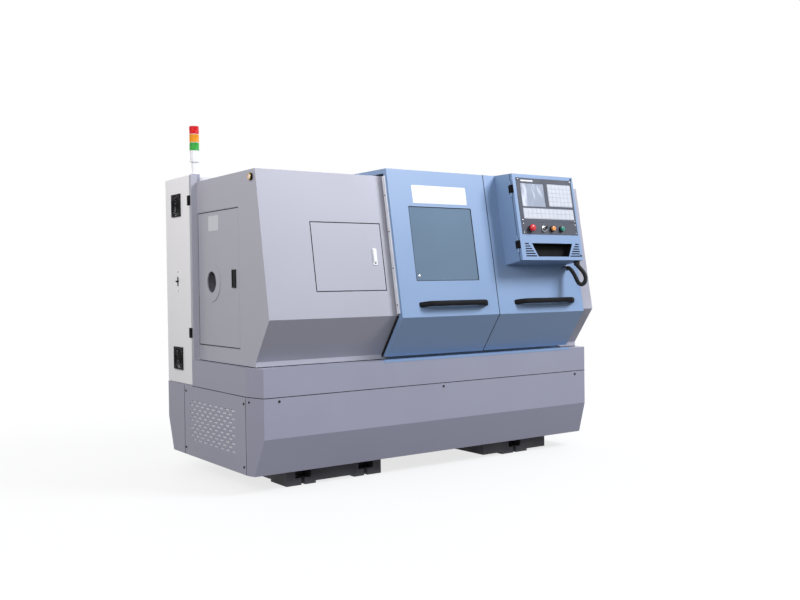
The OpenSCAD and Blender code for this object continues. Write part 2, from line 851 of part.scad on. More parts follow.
// Carriage: saddle on the ways, apron with the nut in front, dovetail for the cross slide on top
module carriage() {
    x0 = carriage_x - carriage_l / 2;
    x1 = carriage_x + carriage_l / 2;
    nut_w = 160;
    color(iron) from_front() {
        difference() {
            block([x0, x1], [bed_y0, bed_y1], [way_z + sliding, saddle_z]);
            ridge_cut(x0, x1, sliding);
            // waist between the two wings
            for (s = [[x0 - over, x0 + wing_l], [x1 - wing_l, x1 + over]])
                block(s, [bed_y0 + rail_w + wing_lap, bed_y1 - rail_w - wing_lap],
                    [way_z - over, saddle_z + over]);
        }
        difference() {
            block([carriage_x - nut_w / 2, carriage_x + nut_w / 2], [apron_y0, bed_y0 - 8],
                [screw_z - 45, saddle_z]);
            x_bar(x0, x1, screw_y, screw_z, screw_dia + 2 * running);
        }
        block([carriage_x - nut_w / 2, carriage_x + nut_w / 2], [bed_y0 - 9, bed_y0 + over],
            [way_z + 6, saddle_z]);
        along_y(bed_y0, bed_y1) translate([carriage_x, saddle_z]) polygon([
            [-dovetail_w / 2 + 10, -over], [dovetail_w / 2 - 10, -over], [dovetail_w / 2, dovetail_h],
            [-dovetail_w / 2, dovetail_h],
        ]);
    }
}

module x_servo() {
    color(black) from_front() translate([carriage_x, apron_y0, saddle_z - servo_w / 2 - 4])
        rotate([0, 0, -90]) servo(0, 0, 0);
}

module cross_slide() {
    slot_w = 14;
    color(steel) from_front() {
        difference() {
            block([carriage_x - cross_w / 2, carriage_x + cross_w / 2], [cross_y0, cross_y0 + cross_l],
                [cross_z0, cross_z1]);
            along_y(cross_y0 - over, cross_y0 + cross_l + over) translate([carriage_x, saddle_z]) polygon([
                [-dovetail_w / 2 + 10 - 2 * sliding, -over], [dovetail_w / 2 - 10 + 2 * sliding, -over],
                [dovetail_w / 2 + 2 * sliding, dovetail_h + sliding],
                [-dovetail_w / 2 - 2 * sliding, dovetail_h + sliding],
            ]);
            for (s = [-1, 1])
                block([carriage_x + s * tee_slot_x - slot_w / 2, carriage_x + s * tee_slot_x + slot_w / 2],
                    [turret_y + turret_w / 2, cross_y0 + cross_l + over], [cross_z1 - 12, cross_z1 + over]);
        }
        translate([carriage_x, turret_y, cross_z1 - over])
            cylinder(d = turret_w - 20, h = turret_seat_z - cross_z1 + over);
    }
}

// Turret: square head with a tool clamped in the slot on each side
module turret() {
    half = turret_w / 2;
    slot_d = shank + 10;
    top_z = spindle_z + 32;
    color(steel) from_front() translate([carriage_x, turret_y, 0]) {
        difference() {
            block([-half, half], [-half, half], [turret_seat_z + sliding, top_z]);
            for (i = [0 : 3])
                rotate([0, 0, 90 * i])
                    block([-half - over, half + over], [half - slot_d, half + over], [tool_z, spindle_z + 4]);
        }
        translate([0, 0, top_z - over]) cylinder(d = 70, h = 20);
        for (i = [0 : 3])
            rotate([0, 0, 90 * i]) {
                block([-half - tool_reach, 40], [half - slot_d + 4, half - slot_d + 4 + shank],
                    [tool_z, spindle_z]);
                for (x = [-50, 0])
                    translate([x, half - slot_d / 2, spindle_z - over]) cylinder(d = 12, h = 50);
            }
    }
}

module tailstock() {
    x1 = tail_x + tail_l;
    barrel_dia = quill_dia + 70;
    color(iron) from_front() difference() {
        union() {
            block([tail_x + 20, x1], [bed_y0, bed_y1], [way_z + sliding, way_z + 60]);
            along_x(tail_x + 30, x1 - 20) polygon([
                [bed_y0 + 40, way_z + 59], [bed_y1 - 40, way_z + 59],
                [spindle_y + barrel_dia / 2, spindle_z], [spindle_y - barrel_dia / 2, spindle_z],
            ]);
            x_bar(tail_x, x1, spindle_y, spindle_z, barrel_dia);
        }
        ridge_cut(tail_x, x1, sliding);
        x_bar(tail_x - over, x1 - 20, spindle_y, spindle_z, quill_dia + 2 * running);
    }
}

module quill() {
    nose = 50;
    taper = 45;
    color(steel) from_front() {
        x_bar(tail_x - nose, tail_x + tail_l - 40, spindle_y, spindle_z, quill_dia);
        translate([tail_x - nose + over, spindle_y, spindle_z]) rotate([0, -90, 0])
            cylinder(d1 = 32, d2 = 30, h = 16);
        translate([tail_x - nose - 14, spindle_y, spindle_z]) rotate([0, -90, 0])
            cylinder(d1 = 30, d2 = 1, h = taper);
    }
}

// Covers of the two ends of the machine
// Front wall of a cover: upper plane, lower plane and the upright lip on the tray
function cover_front() =
    let (
        lip = lip_y + sheet,
        lip_z = cover_lip_z + (lip - lower_y(-sheet, cover_lip_z)) * low_dir[1] / low_dir[0]
    ) [
        [roof_y, roof_z], bend_at, [lip_y, cover_lip_z], [lip_y, tray_z], [lip, tray_z], [lip, lip_z],
        bend_point(-sheet), [upper_y(-sheet, roof_z), roof_z],
    ];
cover_side = [
    [roof_y, roof_z], bend_at, [lip_y, cover_lip_z], [lip_y, tray_z],
    [enclosure_d - sheet - seam_gap, tray_z], [enclosure_d - sheet - seam_gap, roof_z],
];

module cover_shell(x0, x1) {
    along_x(x0, x1) polygon(cover_front());
    block([x0, x1], [roof_y, enclosure_d], [roof_z - sheet, roof_z]);
}

module headstock_cover() {
    wall_x = head_x1 + 2;
    color(grey) from_front() difference() {
        union() {
            cover_shell(-body_x, opening_x0);
            along_x(-body_x, -body_x + sheet) polygon(cover_side);
            // jamb beside the cabinet door, folded out from the end wall and flush with that door
            block([-side_x, over - body_x], [jamb_y0, jamb_y0 + sheet], [tray_z, cabinet_z1]);
            block([-side_x, sheet - side_x], [jamb_y0, jamb_y1], [tray_z, cabinet_z1]);
            // frames that the access door and the hatch close against
            access_cut(sheet - 0.5, sheet + frame_t, frame_lap);
            hatch_cut(0.5 - sheet, -sheet - frame_t, frame_lap);
            // splash wall round the spindle nose
            along_x(wall_x, wall_x + sheet) difference() {
                polygon(cover_side);
                translate([spindle_y, spindle_z]) circle(d = spindle_dia + 130);
                translate([apron_y0 - 20, tray_z - over])
                    square([enclosure_d - apron_y0 + 20 - 4, way_z + ridge_h + 20 - tray_z]);
            }
        }
        access_cut(-over, sheet + sliding, 0);
        access_cut(-over, 20, -frame_lap);
        hatch_cut(over, -sheet - sliding, 0);
        hatch_cut(over, -20, -frame_lap);
    }
}

// Space of the access door from depth x0 to x1 behind the end wall, made wider by t all round
module access_cut(x0, x1, t)
    block([x0 - body_x, x1 - body_x], [access_y0 - t, access_y0 + access_w + t],
        [access_z0 - t, access_z0 + access_h + t]);

// Space of the hatch between the planes moved out by d0 and d1, made wider by t all round
module hatch_cut(d0, d1, t)
    along_x(hatch_x0 - t, hatch_x0 + hatch_w + t)
        polygon(flat_strip(d0, d1, hatch_z0 - t, hatch_z0 + hatch_h + t));

module end_cover() {
    color(grey) from_front() {
        cover_shell(opening_x1, body_x);
        along_x(body_x - sheet, body_x) polygon(cover_side);
    }
}

module rear_wall() {
    top = roof_z - sheet - seam_gap;
    color(grey) from_front() {
        block([-body_x, body_x], [enclosure_d - sheet, enclosure_d], [tray_z, top]);
        // stiffening fold along the open part of the roof
        block([opening_x0 + over, opening_x1 - over],
            [enclosure_d - wall_fold_d, enclosure_d - sheet + over], [top - sheet, top]);
        block([opening_x0 + over, opening_x1 - over],
            [enclosure_d - wall_fold_d, enclosure_d - wall_fold_d + sheet], [top - wall_fold_h, top]);
    }
}

// Header over the opening with the doors' rail on it, and the splash bar below the doors
module door_rails() {
    color(steel) from_front() {
        block([rail_inset - body_x, body_x], [rail_y0, rail_y0 + rail_t],
            [roof_z, door_z1 - sheet - sliding]);
        block([opening_x0 + seam_gap, opening_x1 - seam_gap], [rail_y0, rail_y0 + 2 * rail_t],
            [roof_z - header_h, roof_z]);
        block([opening_x0 + seam_gap, opening_x1 - seam_gap], [lip_y + 6, lip_y + 6 + sheet],
            [tray_z, tray_z + 50]);
        block([opening_x0 + seam_gap, opening_x1 - seam_gap], [lip_y + 6, ledge_w],
            [tray_z, tray_z + sheet]);
    }
}

// Sliding doors
// Folded sheet with side returns, a lower lip and a deep flanged top that hooks over the rail
module door_shell(x0, x1) {
    back = door_proud - return_d;
    low_y = lower_y(door_proud, door_z0);
    top_y = upper_y(door_proud, door_z1);
    along_x(x0, x1) polygon(bent_strip(door_proud, door_proud - sheet, door_z0, door_z1));
    for (x = [x0, x1 - sheet]) {
        along_x(x, x + sheet) polygon(bent_strip(door_proud, back, door_z0, door_z1));
        block([x, x + sheet], [top_y + over, rail_y0 - rail_room],
            [door_z1 - door_hook_h, door_z1]);
    }
    block([x0, x1], [low_y, low_y + return_d - 8], [door_z0, door_z0 + sheet]);
    block([x0, x1], [top_y, door_hook_y + sheet], [door_z1 - sheet, door_z1]);
    block([x0, x1], [door_hook_y, door_hook_y + sheet], [door_z1 - door_hook_h, door_z1]);
}

module left_door() {
    color(blue) from_front() difference() {
        door_shell(left_door_x0, left_door_x1);
        block([window_x0, window_x0 + window_w], [-cover_over - door_proud - 50, roof_y],
            [window_z0, window_z0 + window_h]);
    }
}

module window_pane() {
    d = door_proud - sheet;
    color("#7e9ab0", 0.6) from_front()
        along_x(window_x0 - pane_lap, window_x0 + window_w + pane_lap)
            polygon(flat_strip(d, d - pane_t, window_z0 - pane_lap, window_z0 + window_h + pane_lap));
}

// Bridge handle with splayed feet, standing on a door
module handle(x) {
    half = handle_l / 2;
    rise = handle_h - handle_t;
    inner = half - handle_foot;
    color(black) from_front() on_slope(door_proud, handle_z) translate([x, 0, -handle_t / 2])
        linear_extrude(handle_t) polygon([
            [-half, 0], [handle_splay - half, -handle_h], [half - handle_splay, -handle_h], [half, 0],
            [inner, 0], [inner - handle_splay * rise / handle_h, -rise],
            [handle_splay * rise / handle_h - inner, -rise], [-inner, 0],
        ]);
}

module left_handle() handle(window_x0 + window_w / 2 + 20);
module right_handle() handle((right_door_x0 + right_door_x1) / 2 + 26);

// Aluminium strip that holds the wiper on the left door's leading edge
module wiper_strip() {
    t = 3;
    color(white) from_front() along_x(left_door_x0 - t, left_door_x0)
        polygon(flat_strip(door_proud - 4, door_proud - return_d, cover_bend_z + 10, door_z1 - 40));
}

module right_door() color(blue) from_front() door_shell(right_door_x0, right_door_x1);

// Control box on the right door
// Side outline of the box between the planes moved out by d0 and d1, drawn in by t
function box_side(d0, d1, t) = [
    [upper_y(d0, door_z1 - t), door_z1 - t], [upper_y(d1, door_z1 - t), door_z1 - t],
    box_low(d1) + t * up_dir, box_low(d0) + t * up_dir,
];

module at_hinges() for (v = hinge_v) on_lid() translate([hinge_x, lid_t, v]) children();

module control_box() {
    color(blue) from_front() {
        difference() {
            along_x(box_x0, box_x1) polygon(box_side(door_proud, lid_d0 - seam_gap, 0));
            along_x(box_x0 + box_wall, box_x1 - box_wall)
                polygon(box_side(door_proud + box_wall, lid_d0 + over, box_wall));
        }
        // outer knuckles of the lid's hinges
        at_hinges() for (s = [0, 1]) mirror([0, 0, s]) {
            translate([0, 0, hinge_l / 2 + sliding]) cylinder(d = hinge_dia, h = hinge_l / 2);
            block([0, box_x0 - hinge_x + over], [2, hinge_dia / 2 + 8],
                [hinge_l / 2 + sliding, hinge_l + sliding]);
        }
    }
}

module conduit_glands() {
    color(steel) from_front() {
        translate(door_gland) rotate([90 - slope_deg, 0, 0]) {
            cylinder(d = gland_dia + 4, h = 10, $fn = 6);
            cylinder(d = gland_dia, h = door_gland_l);
        }
        translate(box_gland) rotate([180 - slope_deg, 0, 0]) {
            cylinder(d = gland_dia + 4, h = 8, $fn = 6);
            cylinder(d = gland_dia, h = box_gland_l);
        }
    }
}

// Tube swept along the conduit's route
module conduit() {
    sides = 10;
    n = len(conduit_route);
    function ahead(i) =
        i == 0 ? gland_out : i == n - 1 ? -gland_down
        : let (d = conduit_route[i + 1] - conduit_route[i - 1]) d / norm(d);
    function ring(i) =
        let (u = cross(ahead(i), [1, 0, 0]), side = u / norm(u), up = cross(side, ahead(i)))
        [for (k = [0 : sides - 1]) conduit_route[i]
            + conduit_dia / 2 * (cos(360 * k / sides) * side + sin(360 * k / sides) * up)];
    points = [for (i = [0 : n - 1]) each ring(i)];
    faces = concat(
        [[for (k = [0 : sides - 1]) k]],
        [for (i = [0 : n - 2]) for (k = [0 : sides - 1])
            let (a = i * sides + k, b = i * sides + (k + 1) % sides)
            each [[a, a + sides, b], [b, a + sides, b + sides]]],
        [[for (k = [sides - 1 : -1 : 0]) (n - 1) * sides + k]]
    );
    color(black) from_front() polyhedron(points, faces);
}

// Trapezoid of the grip opening, as drawn on the lid's face
module grip_outline()
    polygon([
        [grip_x - grip_low_w / 2, grip_v0], [grip_x + grip_low_w / 2, grip_v0],
        [grip_x + grip_top_w / 2, grip_v0 + grip_h], [grip_x - grip_top_w / 2, grip_v0 + grip_h],
    ]);

module louvre_outline() {
    rows = 6;
    slot = 7;
    pitch = (grip_h - slot) / (rows - 1);
    margin = 31;
    for (i = [0 : rows - 1]) {
        v = grip_v0 + i * pitch;
        reach = 30 + (rows - 1 - i) * 10;
        translate([box_x0 + margin, v]) square([reach, slot]);
        translate([box_x1 - margin - reach + 13, v]) square([reach, slot]);
    }
}

module control_lid() {
    color(blue) from_front() difference() {
        union() {
            difference() {
                along_x(box_x0, box_x1) polygon(box_side(lid_d0, lid_d1, 0));
                along_x(box_x0 + box_wall, box_x1 - box_wall)
                    polygon(box_side(lid_d0 - over, lid_d1 - 3, box_wall));
            }
            at_hinges() {
                translate([0, 0, -hinge_l / 2]) cylinder(d = hinge_dia, h = hinge_l);
                block([0, box_x0 - hinge_x + over], [-hinge_dia / 2 - 8, -2], [-hinge_l / 2, hinge_l / 2]);
            }
        }
        on_lid() {
            block([cnc_x0 + bezel_lap - sliding, cnc_x0 + cnc_w - bezel_lap + sliding], [-over, lid_t],
                [cnc_v0 + bezel_lap - sliding, cnc_v0 + cnc_h - bezel_lap + sliding]);
            block([cnc_x0 + bezel_lap - sliding, cnc_x0 + cnc_w - bezel_lap + sliding], [-over, lid_t],
                [plate_v0 + bezel_lap - sliding, plate_v0 + plate_h - bezel_lap + sliding]);
            translate([0, lid_t, 0]) rotate([90, 0, 0]) linear_extrude(lid_t + over) {
                grip_outline();
                louvre_outline();
            }
        }
    }
}

// Numerical control with its bezel, and the button plate below it
module operator_panel() {
    color("#474c58") from_front() on_lid() difference() {
        union() {
            block([cnc_x0, cnc_x0 + cnc_w], [-bezel_t, 0], [cnc_v0, cnc_v0 + cnc_h]);
            block([cnc_x0 + bezel_lap, cnc_x0 + cnc_w - bezel_lap], [-over, cnc_depth],
                [cnc_v0 + bezel_lap, cnc_v0 + cnc_h - bezel_lap]);
            block([cnc_x0, cnc_x0 + cnc_w], [-bezel_t, 0], [plate_v0, plate_v0 + plate_h]);
            block([cnc_x0 + bezel_lap, cnc_x0 + cnc_w - bezel_lap], [-over, plate_t],
                [plate_v0 + bezel_lap, plate_v0 + plate_h - bezel_lap]);
            for (x = [estop_x, selector_x, hold_x, start_x])
                lid_boss(x, button_v, button_dia + 6, 0, bezel_t + 4);
            // raised keys of the two keypads
            for (i = [0 : 5]) for (j = [0 : 4])
                block([keys_x0 + i * keys_w / 6 + 2, keys_x0 + (i + 1) * keys_w / 6 - 2],
                    [-bezel_t - key_t, 0],
                    [keys_v0 + j * keys_h / 5 + 2, keys_v0 + (j + 1) * keys_h / 5 - 2]);
            for (i = [0 : 11]) for (j = [0 : 1])
                block([strip_x0 + i * strip_w / 12 + 2, strip_x0 + (i + 1) * strip_w / 12 - 2],
                    [-bezel_t - key_t, 0],
                    [strip_v0 + j * strip_h / 2 + 2, strip_v0 + (j + 1) * strip_h / 2 - 2]);
        }
        block([screen_x0, screen_x0 + screen_w], [-bezel_t - over, screen_t],
            [screen_v0, screen_v0 + screen_h]);
        for (x = [estop_x, selector_x, hold_x, start_x])
            lid_boss(x, button_v, stem_dia + 2 * running, plate_t + over, bezel_t + 5);
    }
}

module screen() {
    color("#a9bccb") from_front() on_lid()
        block([screen_x0, screen_x0 + screen_w], [screen_recess - bezel_t, screen_t],
            [screen_v0, screen_v0 + screen_h]);
}

// Stem in its guide with a head in front of it, clear of the guide by the travel
module push_button(x, d, travel, head_l) {
    guide = bezel_t + 4;
    from_front() on_lid() {
        lid_boss(x, button_v, stem_dia, plate_t - travel - over, guide + travel + over);
        lid_boss(x, button_v, d, -guide - travel - 0.5, guide + travel + 0.5 + head_l);
    }
}

module emergency_stop() {
    head = 16;
    color("red") {
        push_button(estop_x, estop_dia, estop_travel, head);
        from_front() on_lid()
            lid_boss(estop_x, button_v, estop_dia - 12, -bezel_t - head, bezel_t + head + 14);
    }
}

module selector_switch() {
    guide = bezel_t + 4;
    color(steel) from_front() on_lid() {
        lid_boss(selector_x, button_v, stem_dia, plate_t - over, guide + over);
        lid_boss(selector_x, button_v, button_dia, -guide - sliding, guide + sliding + 10);
        translate([selector_x, 0, button_v]) rotate([0, 40, 0])
            block([-4, 4], [-guide - 20, -guide - 9], [-12, 12]);
    }
}

module hold_button() color("orange") push_button(hold_x, button_dia, button_travel, 12);
module start_button() color("seagreen") push_button(start_x, button_dia, button_travel, 12);

// Hatch in the headstock cover
module hatch() {
    plate_x = hatch_x0 + hatch_w - 67;
    color(grey) from_front() {
        along_x(hatch_x0 + flush_gap, hatch_x0 + hatch_w - flush_gap)
            polygon(flat_strip(0, -sheet, hatch_z0 + flush_gap, hatch_z0 + hatch_h - flush_gap));
        on_slope(0, hatch_z0 + 132) block([plate_x, plate_x + 25], [-3, 0.5], [0, 86]);
    }
}

module hatch_latch() {
    plate_x = hatch_x0 + hatch_w - 67;
    color(white) from_front() on_slope(0, hatch_z0 + 132)
        block([plate_x + 3, plate_x + 22], [-9, -3 - sliding], [16, 82]);
}

// Access door on the left end, with the hole for bar stock
module access_door() {
    y0 = access_y0 + flush_gap;
    y1 = access_y0 + access_w - flush_gap;
    z0 = access_z0 + flush_gap;
    z1 = access_z0 + access_h - flush_gap;
    color(grey) from_front() difference() {
        union() {
            block([-body_x, -body_x + sheet], [y0, y1], [z0, z1]);
            x_bar(-body_x - 3, -body_x + over, spindle_y, spindle_z, disc_dia);
        }
        x_bar(-body_x - 3 - over, -body_x + sheet + over, spindle_y, spindle_z, bar_hole_dia);
    }
}

// Lift-up paddle of the access door's latch
module access_latch() {
    y0 = access_y0 + 35;
    z0 = access_z0 + 307;
    color(black) from_front() difference() {
        block([-body_x - 5, -body_x - sliding], [y0, y0 + 45], [z0, z0 + 92]);
        // finger dish
        block([-body_x - 5 - over, -body_x - 3], [y0 + 16, y0 + 40], [z0 + 10, z0 + 82]);
    }
}

// Electrical cabinet, open towards its door
module cabinet() {
    x1 = cabinet_x0 + cabinet_l;
    color(white) from_front() difference() {
        block([cabinet_x0, x1], [cabinet_y0, cabinet_y1], [deck_z, cabinet_z1]);
        block([cabinet_x0 - over, x1 - sheet], [cabinet_y0 + sheet, cabinet_y1 - sheet],
            [deck_z + sheet, cabinet_z1 - sheet]);
    }
}

// Mounting plate on the cabinet's back wall with its drives, contactors and wiring ducts
module drive_plate() {
    y1 = cabinet_y1 - sheet;
    x0 = cabinet_x0 + plate_margin;
    x1 = cabinet_x0 + cabinet_l - plate_margin;
    l = x1 - x0;
    z0 = deck_z + plate_margin;
    h = cabinet_z1 - plate_margin - z0;
    // one row of equal units across the plate, at shares of its height
    module row(n, gap, d, low, high)
        for (i = [0 : n - 1])
            block([x0 + i * l / n + gap, x0 + (i + 1) * l / n - gap], [y1 - d, y1 - 11],
                [z0 + low * h, z0 + high * h]);
    color(steel) from_front() {
        block([x0, x1], [y1 - 12, y1], [z0, z0 + h]);
        row(3, 28, drive_d, 0.55, 0.845);
        row(6, 18, contactor_d, 0.315, 0.4);
        row(1, 30, duct_d - 10, 0.128, 0.177);
        for (v = [0.236, 0.452, 0.894])
            block([x0 + 10, x1 - 10], [y1 - duct_d, y1 - 11], [z0 + v * h, z0 + v * h + duct_h]);
    }
}

module at_fan(z) translate([-side_x, fan_y, z]) rotate([0, 90, 0]) children();

// Cabinet door: shallow folded tray with two fans in their frames
module cabinet_door() {
    z0 = cabinet_door_z0;
    z1 = cabinet_z1;
    color(white) from_front() {
        difference() {
            block([-side_x, -side_x + cabinet_door_t], [cabinet_door_y0, cabinet_door_y1], [z0, z1]);
            block([-side_x + sheet, -side_x + cabinet_door_t + over],
                [cabinet_door_y0 + sheet, cabinet_door_y1 - sheet], [z0 + sheet, z1 - sheet]);
            for (z = [fan_z0, fan_z1])
                at_fan(z) translate([0, 0, -over]) cylinder(d = fan_hole_dia, h = sheet + 2 * over);
            translate([-side_x - over, fan_y - 10, cabinet_latch_z]) rotate([0, 90, 0])
                cylinder(d = 12 + 2 * running, h = sheet + 2 * over);
        }
        for (z = [fan_z0, fan_z1]) {
            at_fan(z) difference() {
                translate([-fan_w / 2, -fan_w / 2, sheet - 0.5]) cube([fan_w, fan_w, fan_depth]);
                translate([0, 0, -over]) cylinder(d = fan_hole_dia, h = fan_depth + 2 * sheet);
            }
            // motor cup on three struts
            at_fan(z) translate([0, 0, sheet + fan_depth - 7]) {
                cylinder(d = 46, h = 6);
                for (a = [0, 120, 240])
                    rotate([0, 0, a]) translate([0, -4, 0]) cube([fan_hole_dia / 2 + 2, 8, 4]);
            }
        }
        for (z = cabinet_hinge_z) translate([-side_x, 0, z - cabinet_hinge_l / 2]) {
            translate([-sliding - cabinet_hinge_dia / 2, (jamb_y1 + cabinet_door_y0) / 2, 0])
                cylinder(d = cabinet_hinge_dia, h = cabinet_hinge_l);
            block([-cabinet_leaf_t, over], [cabinet_door_y0, cabinet_door_y0 + cabinet_leaf_w],
                [0, cabinet_hinge_l]);
        }
    }
}

module fan(z) {
    blades = 7;
    color(black) from_front() at_fan(z) {
        translate([0, 0, sheet + 1]) cylinder(d = 44, h = fan_depth - 8 - sliding);
        for (i = [0 : blades - 1])
            rotate([0, 0, i * 360 / blades]) translate([18, 0, sheet + fan_depth / 2 - 4]) rotate([38, 0, 0])
                translate([0, -13, -1]) cube([fan_hole_dia / 2 - 22, 26, 2]);
    }
}

module upper_fan() fan(fan_z1);
module lower_fan() fan(fan_z0);

// Finger guards in front of the fans: rings on a square frame
module fan_guards() {
    ring_t = 3;
    rings = 5;
    guard_t = 7;
    color(black) from_front() for (z = [fan_z0, fan_z1])
        at_fan(z) translate([0, 0, -guard_t]) {
            difference() {
                translate([-fan_w / 2, -fan_w / 2, 0]) cube([fan_w, fan_w, guard_t]);
                translate([0, 0, -over]) cylinder(d = fan_hole_dia, h = guard_t + 2 * over);
            }
            for (i = [1 : rings])
                difference() {
                    cylinder(r = i * fan_hole_dia / 2 / (rings + 0.6), h = ring_t);
                    translate([0, 0, -over])
                        cylinder(r = i * fan_hole_dia / 2 / (rings + 0.6) - ring_t, h = ring_t + 2 * over);
                }
            for (a = [45, 135])
                rotate([0, 0, a]) translate([-fan_hole_dia / 2 - 1, -2, 0])
                    cube([fan_hole_dia + 2, 4, ring_t]);
        }
}

// Quarter-turn latch of the cabinet door
module cabinet_latch() {
    color(black) from_front() translate([-side_x, fan_y - 10, cabinet_latch_z]) rotate([0, 90, 0]) {
        translate([0, 0, -8]) cylinder(d = 12, h = 8 + sheet + 6);
        translate([0, 0, -8]) cylinder(d = 24, h = 8 - sliding);
        translate([-26, -5, -16]) cube([52, 10, 8.5]);
        translate([-6, -30, sheet + 3]) cube([12, 36, 3]);
    }
}

// Signal tower on its post
module tower_post() {
    wall = 3;
    color(grey) from_front() difference() {
        block([post_x0, post_x0 + post_w], [post_y0, post_y0 + post_w], [deck_z, post_z]);
        block([post_x0 + wall, post_x0 + post_w - wall], [post_y0 + wall, post_y0 + post_w - wall],
            [deck_z - over, post_z - wall]);
    }
}

module tower_ring(z0, h, d) translate([tower_x, tower_y, z0]) cylinder(d = d, h = h);

module tower_base() {
    color(white) from_front() {
        tower_ring(post_z, stem_h + over, tower_dia - 16);
        tower_ring(post_z + stem_h, tower_base_h, tower_dia);
    }
}

// One lens: a ribbed cup with a narrow neck where it locks into the one below
module lens(i) {
    neck = 3;
    z0 = tower_z + i * lens_h;
    tower_ring(z0, neck + over, tower_dia - 5);
    tower_ring(z0 + neck, lens_h - neck, tower_dia);
}

module green_lens() color("green") from_front() lens(0);
module amber_lens() color("orange") from_front() lens(1);
module red_lens() color("red") from_front() lens(2);

left_leg();
right_leg();
chip_tray();
front_skirt();
rear_skirt();
vent_panel();
bed();
headstock();
headstock_cover();
end_cover();
rear_wall();
door_rails();
cabinet();
drive_plate();
tower_post();
tower_base();
green_lens();
amber_lens();
red_lens();
main_motor();
drive_belt();
z_servo();
left_door();
window_pane();
left_handle();
wiper_strip();
right_door();
right_handle();
control_box();
conduit_glands();
conduit();
control_lid();
operator_panel();
screen();
emergency_stop();
selector_switch();
hold_button();
start_button();
hatch();
hatch_latch();
access_door();
access_latch();
cabinet_door();
fan_guards();
upper_fan();
lower_fan();
cabinet_latch();
spindle();
chuck();
jaw_1();
jaw_2();
jaw_3();
motor_pulley();
carriage();
x_servo();
cross_slide();
turret();
z_screw();
tailstock();
quill();
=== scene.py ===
import math

import bmesh
import bpy
import numpy as np
from mathutils import Matrix, Vector


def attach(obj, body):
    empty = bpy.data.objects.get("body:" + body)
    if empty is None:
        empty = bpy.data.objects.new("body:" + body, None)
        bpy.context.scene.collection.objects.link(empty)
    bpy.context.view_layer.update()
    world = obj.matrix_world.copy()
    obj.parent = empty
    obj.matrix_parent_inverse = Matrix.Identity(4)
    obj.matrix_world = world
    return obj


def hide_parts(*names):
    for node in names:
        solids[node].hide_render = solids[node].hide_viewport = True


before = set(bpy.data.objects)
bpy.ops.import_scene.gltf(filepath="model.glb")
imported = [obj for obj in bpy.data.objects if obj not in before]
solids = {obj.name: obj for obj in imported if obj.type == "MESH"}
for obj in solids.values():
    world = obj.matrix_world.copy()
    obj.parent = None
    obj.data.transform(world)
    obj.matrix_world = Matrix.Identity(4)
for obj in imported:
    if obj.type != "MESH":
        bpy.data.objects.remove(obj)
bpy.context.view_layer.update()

# Camera
# The photograph's viewpoint, fitted to the machine's straight edges: chest height, about five metres off the
# left front corner, with a normal lens held almost level.
camera = bpy.data.objects.new("camera", bpy.data.cameras.new("camera"))
bpy.context.collection.objects.link(camera)
camera.data.sensor_width = 36.0
camera.data.lens = 42.28
camera_right = (0.818338, -0.574584, -0.013262)
camera_up = (0.021483, 0.007522, 0.999741)
camera_ahead = (0.574336, 0.818411, -0.018499)
camera_place = (-3.11374, -4.49299, 1.02003)
camera.matrix_world = Matrix(
    [(camera_right[i], camera_up[i], -camera_ahead[i], camera_place[i]) for i in range(3)] + [(0, 0, 0, 1)]
)
bpy.context.scene.camera = camera
bpy.context.scene.view_settings.view_transform = "Standard"

# Conduit
# A corrugated black nylon hose that takes the control's cables from the door into the control box. It is pushed
# into a nickel-plated gland at each end and hangs between them in one short loop.
base_front_y = -458.0


def machine(points):
    """Millimetres from the machine's middle, the base's front face and the floor, as metres in the part's frame."""
    return (np.asarray(points, float) + (0.0, base_front_y, 0.0)) / 1000.0


def srgb(code):
    """A hex colour as linear red, green, blue and alpha: the sRGB curve undone on each channel."""
    v = np.array([int(code[i:i + 2], 16) for i in (1, 3, 5)]) / 255.0
    return (*np.where(v <= 0.04045, v / 12.92, ((v + 0.055) / 1.055) ** 2.4), 1.0)


def add(tree, kind, settings=(), links=()):
    """Adds one node, sets its inputs or properties by name or number, and links sockets to its inputs."""
    made = tree.nodes.new(kind)
    for key, value in dict(settings).items():
        if isinstance(key, int) or key in made.inputs:
            made.inputs[key].default_value = value
        else:
            setattr(made, key, value)
    for key, socket in dict(links).items():
        tree.links.new(socket, made.inputs[key])
    return made


def material(name, **sockets):
    """A material with one principled shader, its plain numbers set on the shader's own sockets."""
    made = bpy.data.materials.new(name)
    made.use_nodes = True
    shader = made.node_tree.nodes["Principled BSDF"]
    for key, value in sockets.items():
        shader.inputs[key.replace("_", " ").title().replace("Ior", "IOR")].default_value = value
    return made, made.node_tree, shader


